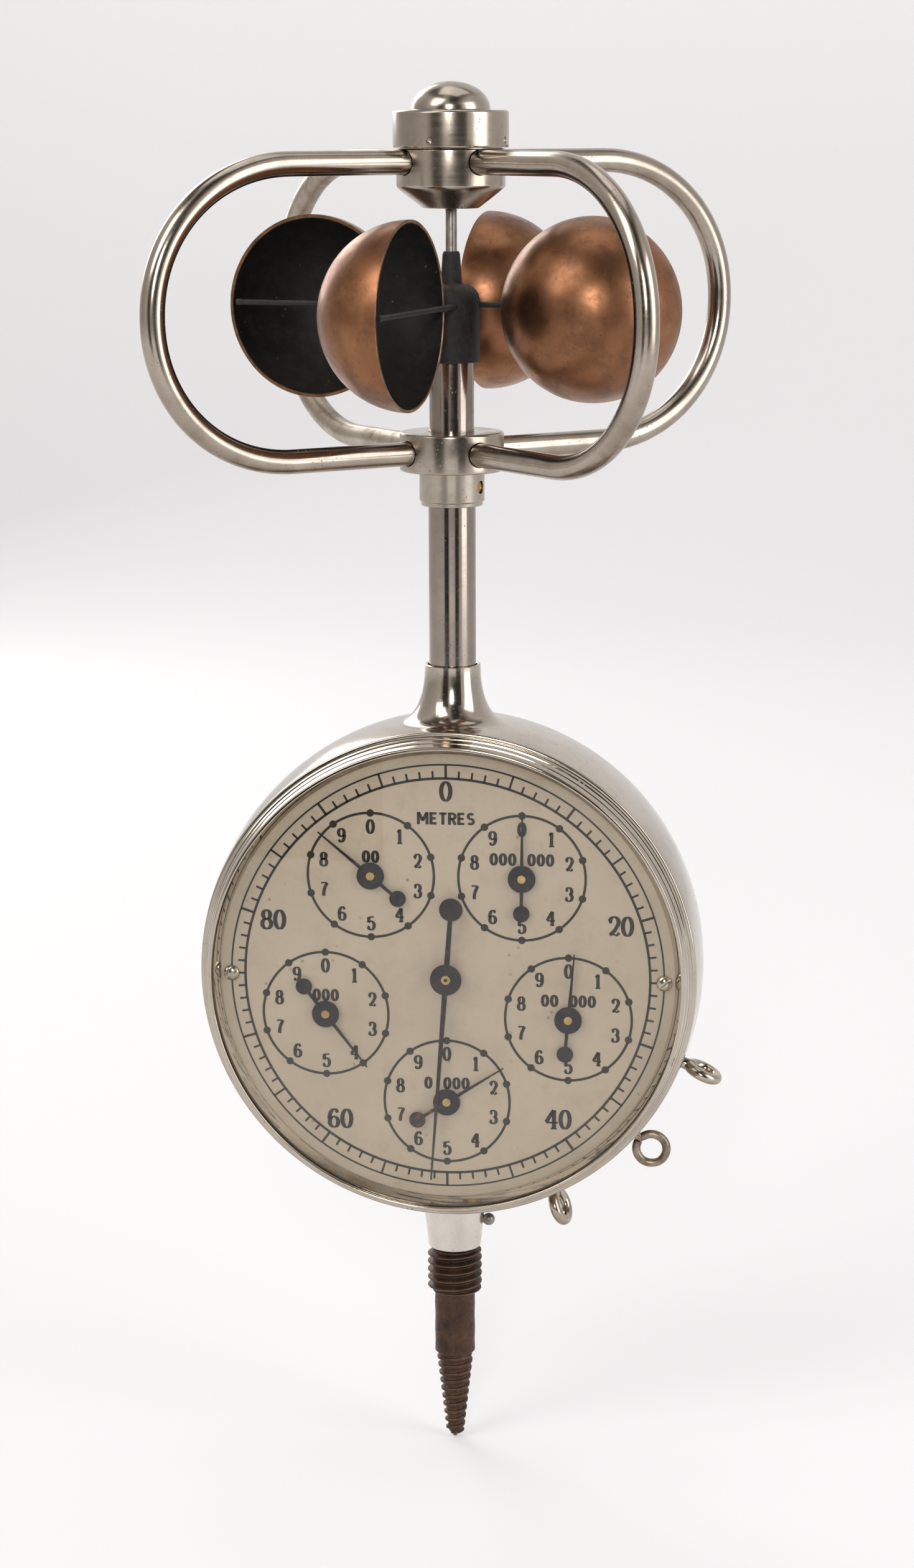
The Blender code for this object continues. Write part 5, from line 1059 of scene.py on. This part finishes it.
def make_post():
    bm = bmesh.new()
    screw_surface(bm, 72, 560, post_radius, 6.6, -36.88)
    finish_mesh("post_fine", bm, MAT["iron"], "frame", ["post_screw"], 60)
    segs, rows = 96, 60
    bm = bmesh.new()
    rings = []
    for i in range(rows + 1):
        s = i / rows
        ring = []
        for k in range(segs):
            a = 2 * math.pi * k / segs
            x0, y0 = math.cos(a), math.sin(a)
            r = 4.69 + (5.7 - 4.69) * s
            top = ZC - math.sqrt((band(r * y0) + 0.03) ** 2 - (r * x0) ** 2)
            z = top * s
            lip = 0.28 * (1 - smooth(z, 0.0, 0.35))
            ring.append(bm.verts.new(((r - lip) * x0, (r - lip) * y0, z)))
        rings.append(ring)
    chain = rings + [circle(bm, 3.4, z, segs) for z in (8.0, 0.15)]
    for a, b in zip(chain, chain[1:] + chain[:1]):
        skin(bm, a, b)
    socket = finish_mesh("socket_fine", bm, MAT["socket"], "frame", ["lower_socket"])
    ball_at = Matrix.Translation((6.2, 0, 5.1))
    bool_cut(socket, [tool(lathe(ball_profile(1.22, 20), 40, closed=False, matrix=ball_at))])
    bm = lathe(ball_profile(1.12, 24), 48, closed=False, matrix=ball_at)
    lathe([(0, 3.25), (0.7, 3.25), (0.7, 5.6), (0, 5.6)], 24, bm, matrix=align((1, 0, 0), (0, 0, 5.1)))
    finish_mesh("lock_fine", bm, MAT["steel"], "frame", ["socket_lock_screw"])


make_case()
make_covers()
make_dial()
slotted_head("dial_screw_fine_left", -38.0, "dial_screw_left")
slotted_head("dial_screw_fine_right", 38.0, "dial_screw_right")
make_hands()
make_stem()
make_bows()
make_rotor()
make_lever()
make_post()

STEEL_NODES = {"worm_quill", "clutch_sleeve"}
replaced = {"case_body", "rear_cover", "bezel_ring", "reflector_flange", "dial_glass", "dial_plate",
            "dial_screw_left", "dial_screw_right", "main_hand", "stem_tube", "lower_collar", "upper_hub",
            "collar_set_screw", "top_cap", "spindle", "rotor_hub", "start_stop_lever", "guide_eye_upper",
            "guide_eye_lower", "post_screw", "lower_socket", "socket_lock_screw"}
replaced |= {f"{kind}_{i}" for kind in ("guard_bow", "cup", "cup_arm") for i in range(1, 5)}
replaced |= {"hand_" + name for name in SUBS}
for name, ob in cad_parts.items():
    if name in replaced or ob.type != "MESH":
        continue
    ob.data.materials.clear()
    ob.data.materials.append(MAT["steel"] if name in STEEL_NODES else MAT["brass"])


# ------------------------------------------------------------------ floor, light, camera

def stage_material(name, base, other, scale, rough):
    t = Tree(name)
    n = t.noise(scale, 5, 0.6)
    col = t.mix(t.ramp(n, 0.3, 0.7), base, other)
    t.bump(t.noise(scale * 30, 4), 0.05, 0.0002)
    return t.set(color=col, rough=rough)


def make_stage():
    floor_z = -0.0370
    bm = bmesh.new()
    prof = [(-1.6, floor_z)]
    for k in range(17):
        a = math.pi / 2 * k / 16
        prof.append((0.9 + 0.5 * math.sin(a), floor_z + 0.5 - 0.5 * math.cos(a)))
    prof.append((1.4, 2.2))
    rows = [[bm.verts.new((x, y, z)) for y, z in prof] for x in (-2.4, 2.4)]
    for k in range(len(prof) - 1):
        bm.faces.new((rows[0][k], rows[1][k], rows[1][k + 1], rows[0][k + 1]))
    me = bpy.data.meshes.new("sweep_floor")
    bm.to_mesh(me)
    bm.free()
    me.shade_smooth()
    paper = stage_material("paper", (0.80, 0.79, 0.77), (0.77, 0.76, 0.745), 3.0, 0.9)
    tree = paper.node_tree
    # painted shade: the paper's colour is darker at floor level and lighter up the curved wall, graded by
    # height
    spot = tree.nodes.new("ShaderNodeTexCoord")
    apart = tree.nodes.new("ShaderNodeSeparateXYZ")
    height = tree.nodes.new("ShaderNodeMapRange")
    shade = tree.nodes.new("ShaderNodeMix")
    shade.data_type = "RGBA"
    height.inputs["From Min"].default_value = floor_z
    height.inputs["From Max"].default_value = floor_z + 0.35
    shade.inputs[6].default_value = (0.60, 0.60, 0.605, 1)
    shade.inputs[7].default_value = (0.78, 0.77, 0.765, 1)
    tree.links.new(spot.outputs["Object"], apart.inputs[0])
    tree.links.new(apart.outputs["Z"], height.inputs["Value"])
    tree.links.new(height.outputs["Result"], shade.inputs["Factor"])
    shader = tree.nodes["Principled BSDF"]
    tree.links.new(shade.outputs[2], shader.inputs["Base Color"])
    shader.inputs["Emission Color"].default_value = (0.985, 0.975, 1.0, 1)
    shader.inputs["Emission Strength"].default_value = 0.34
    me.materials.append(paper)
    ob = bpy.data.objects.new("sweep_floor", me)
    bpy.context.scene.collection.objects.link(ob)
    cards = bmesh.new()
    for x0, x1, z1, y in ((-0.42, -0.12, 0.62, -0.66), (0.22, 0.5, 0.55, -0.62)):
        corners = ((x0, y, -0.03), (x1, y, -0.03), (x1, y, z1), (x0, y, z1))
        cards.faces.new([cards.verts.new(p) for p in corners])
    me = bpy.data.meshes.new("dark_cards")
    cards.to_mesh(me)
    cards.free()
    me.materials.append(stage_material("card_black", (0.012, 0.011, 0.010), (0.02, 0.018, 0.016), 3.0, 0.9))
    ob = bpy.data.objects.new("dark_cards", me)
    ob.visible_camera = False
    bpy.context.scene.collection.objects.link(ob)


def area(name, loc, target, size, power, colour, size_y=None):
    li = bpy.data.lights.new(name, "AREA")
    li.energy = power
    li.color = colour
    li.shape = "RECTANGLE"
    li.size = size
    li.size_y = size_y or size
    ob = bpy.data.objects.new(name, li)
    ob.location = loc
    ob.rotation_euler = (Vector(target) - Vector(loc)).to_track_quat("-Z", "Y").to_euler()
    bpy.context.scene.collection.objects.link(ob)
    return ob


make_stage()
area("key", (-0.55, -0.65, 0.85), (0, 0, 0.09), 0.55, 4.6, (1.0, 0.975, 0.95), 0.7)
area("fill", (0.85, -0.35, 0.35), (0, 0, 0.09), 0.5, 3.4, (0.97, 0.98, 1.0), 0.8)
area("top", (0.05, 0.15, 1.1), (0, 0, 0.1), 0.7, 1.6, (1.0, 0.99, 0.98))
area("front", (0.05, -1.3, 0.55), (0, 0, 0.07), 0.22, 5.6, (1.0, 0.985, 0.96), 0.4)
area("back", (-0.5, 0.75, 0.5), (0, 0, 0.15), 0.5, 3.0, (1.0, 0.98, 0.95), 0.6)

world = bpy.data.worlds.new("studio")
bpy.context.scene.world = world
world.use_nodes = True
wn = world.node_tree
wc = wn.nodes.new("ShaderNodeTexCoord")
ws = wn.nodes.new("ShaderNodeSeparateXYZ")
wr = wn.nodes.new("ShaderNodeValToRGB")
wm = wn.nodes.new("ShaderNodeMapRange")
wm.inputs["From Min"].default_value = -1.0
wm.inputs["From Max"].default_value = 1.0
wn.links.new(wc.outputs["Generated"], ws.inputs[0])
wn.links.new(ws.outputs["X"], wm.inputs["Value"])
wn.links.new(wm.outputs["Result"], wr.inputs["Fac"])
els = wr.color_ramp.elements
els[0].position, els[0].color = 0.0, (0.55, 0.53, 0.50, 1)
els[1].position, els[1].color = 1.0, (0.72, 0.71, 0.69, 1)
for place, level in ((0.16, 0.8), (0.24, 0.2), (0.33, 0.07), (0.42, 0.55), (0.47, 0.5), (0.53, 0.06),
                     (0.66, 0.05), (0.74, 0.28), (0.82, 0.85), (0.88, 0.75)):
    band_el = els.new(place)
    band_el.color = (level, level * 0.955, level * 0.9, 1)
wn.links.new(wr.outputs["Color"], wn.nodes["Background"].inputs["Color"])
wn.nodes["Background"].inputs["Strength"].default_value = 0.85

cam_data = bpy.data.cameras.new("photo_camera")
cam_data.lens = 73.18
cam_data.sensor_width = 36.0
cam_data.clip_start = 0.01
cam_data.clip_end = 20.0
cam = bpy.data.objects.new("photo_camera", cam_data)
cam.matrix_world = (Matrix.Translation((0.06079, -0.54609, 0.20060)) @ Matrix.Rotation(0.109626, 4, "Z")
                    @ Matrix.Rotation(math.pi / 2 - 0.206587, 4, "X") @ Matrix.Rotation(-0.003378, 4, "Z"))
bpy.context.scene.collection.objects.link(cam)
bpy.context.scene.camera = cam
bpy.context.scene.view_settings.view_transform = "Standard"
bpy.context.scene.view_settings.look = "None"
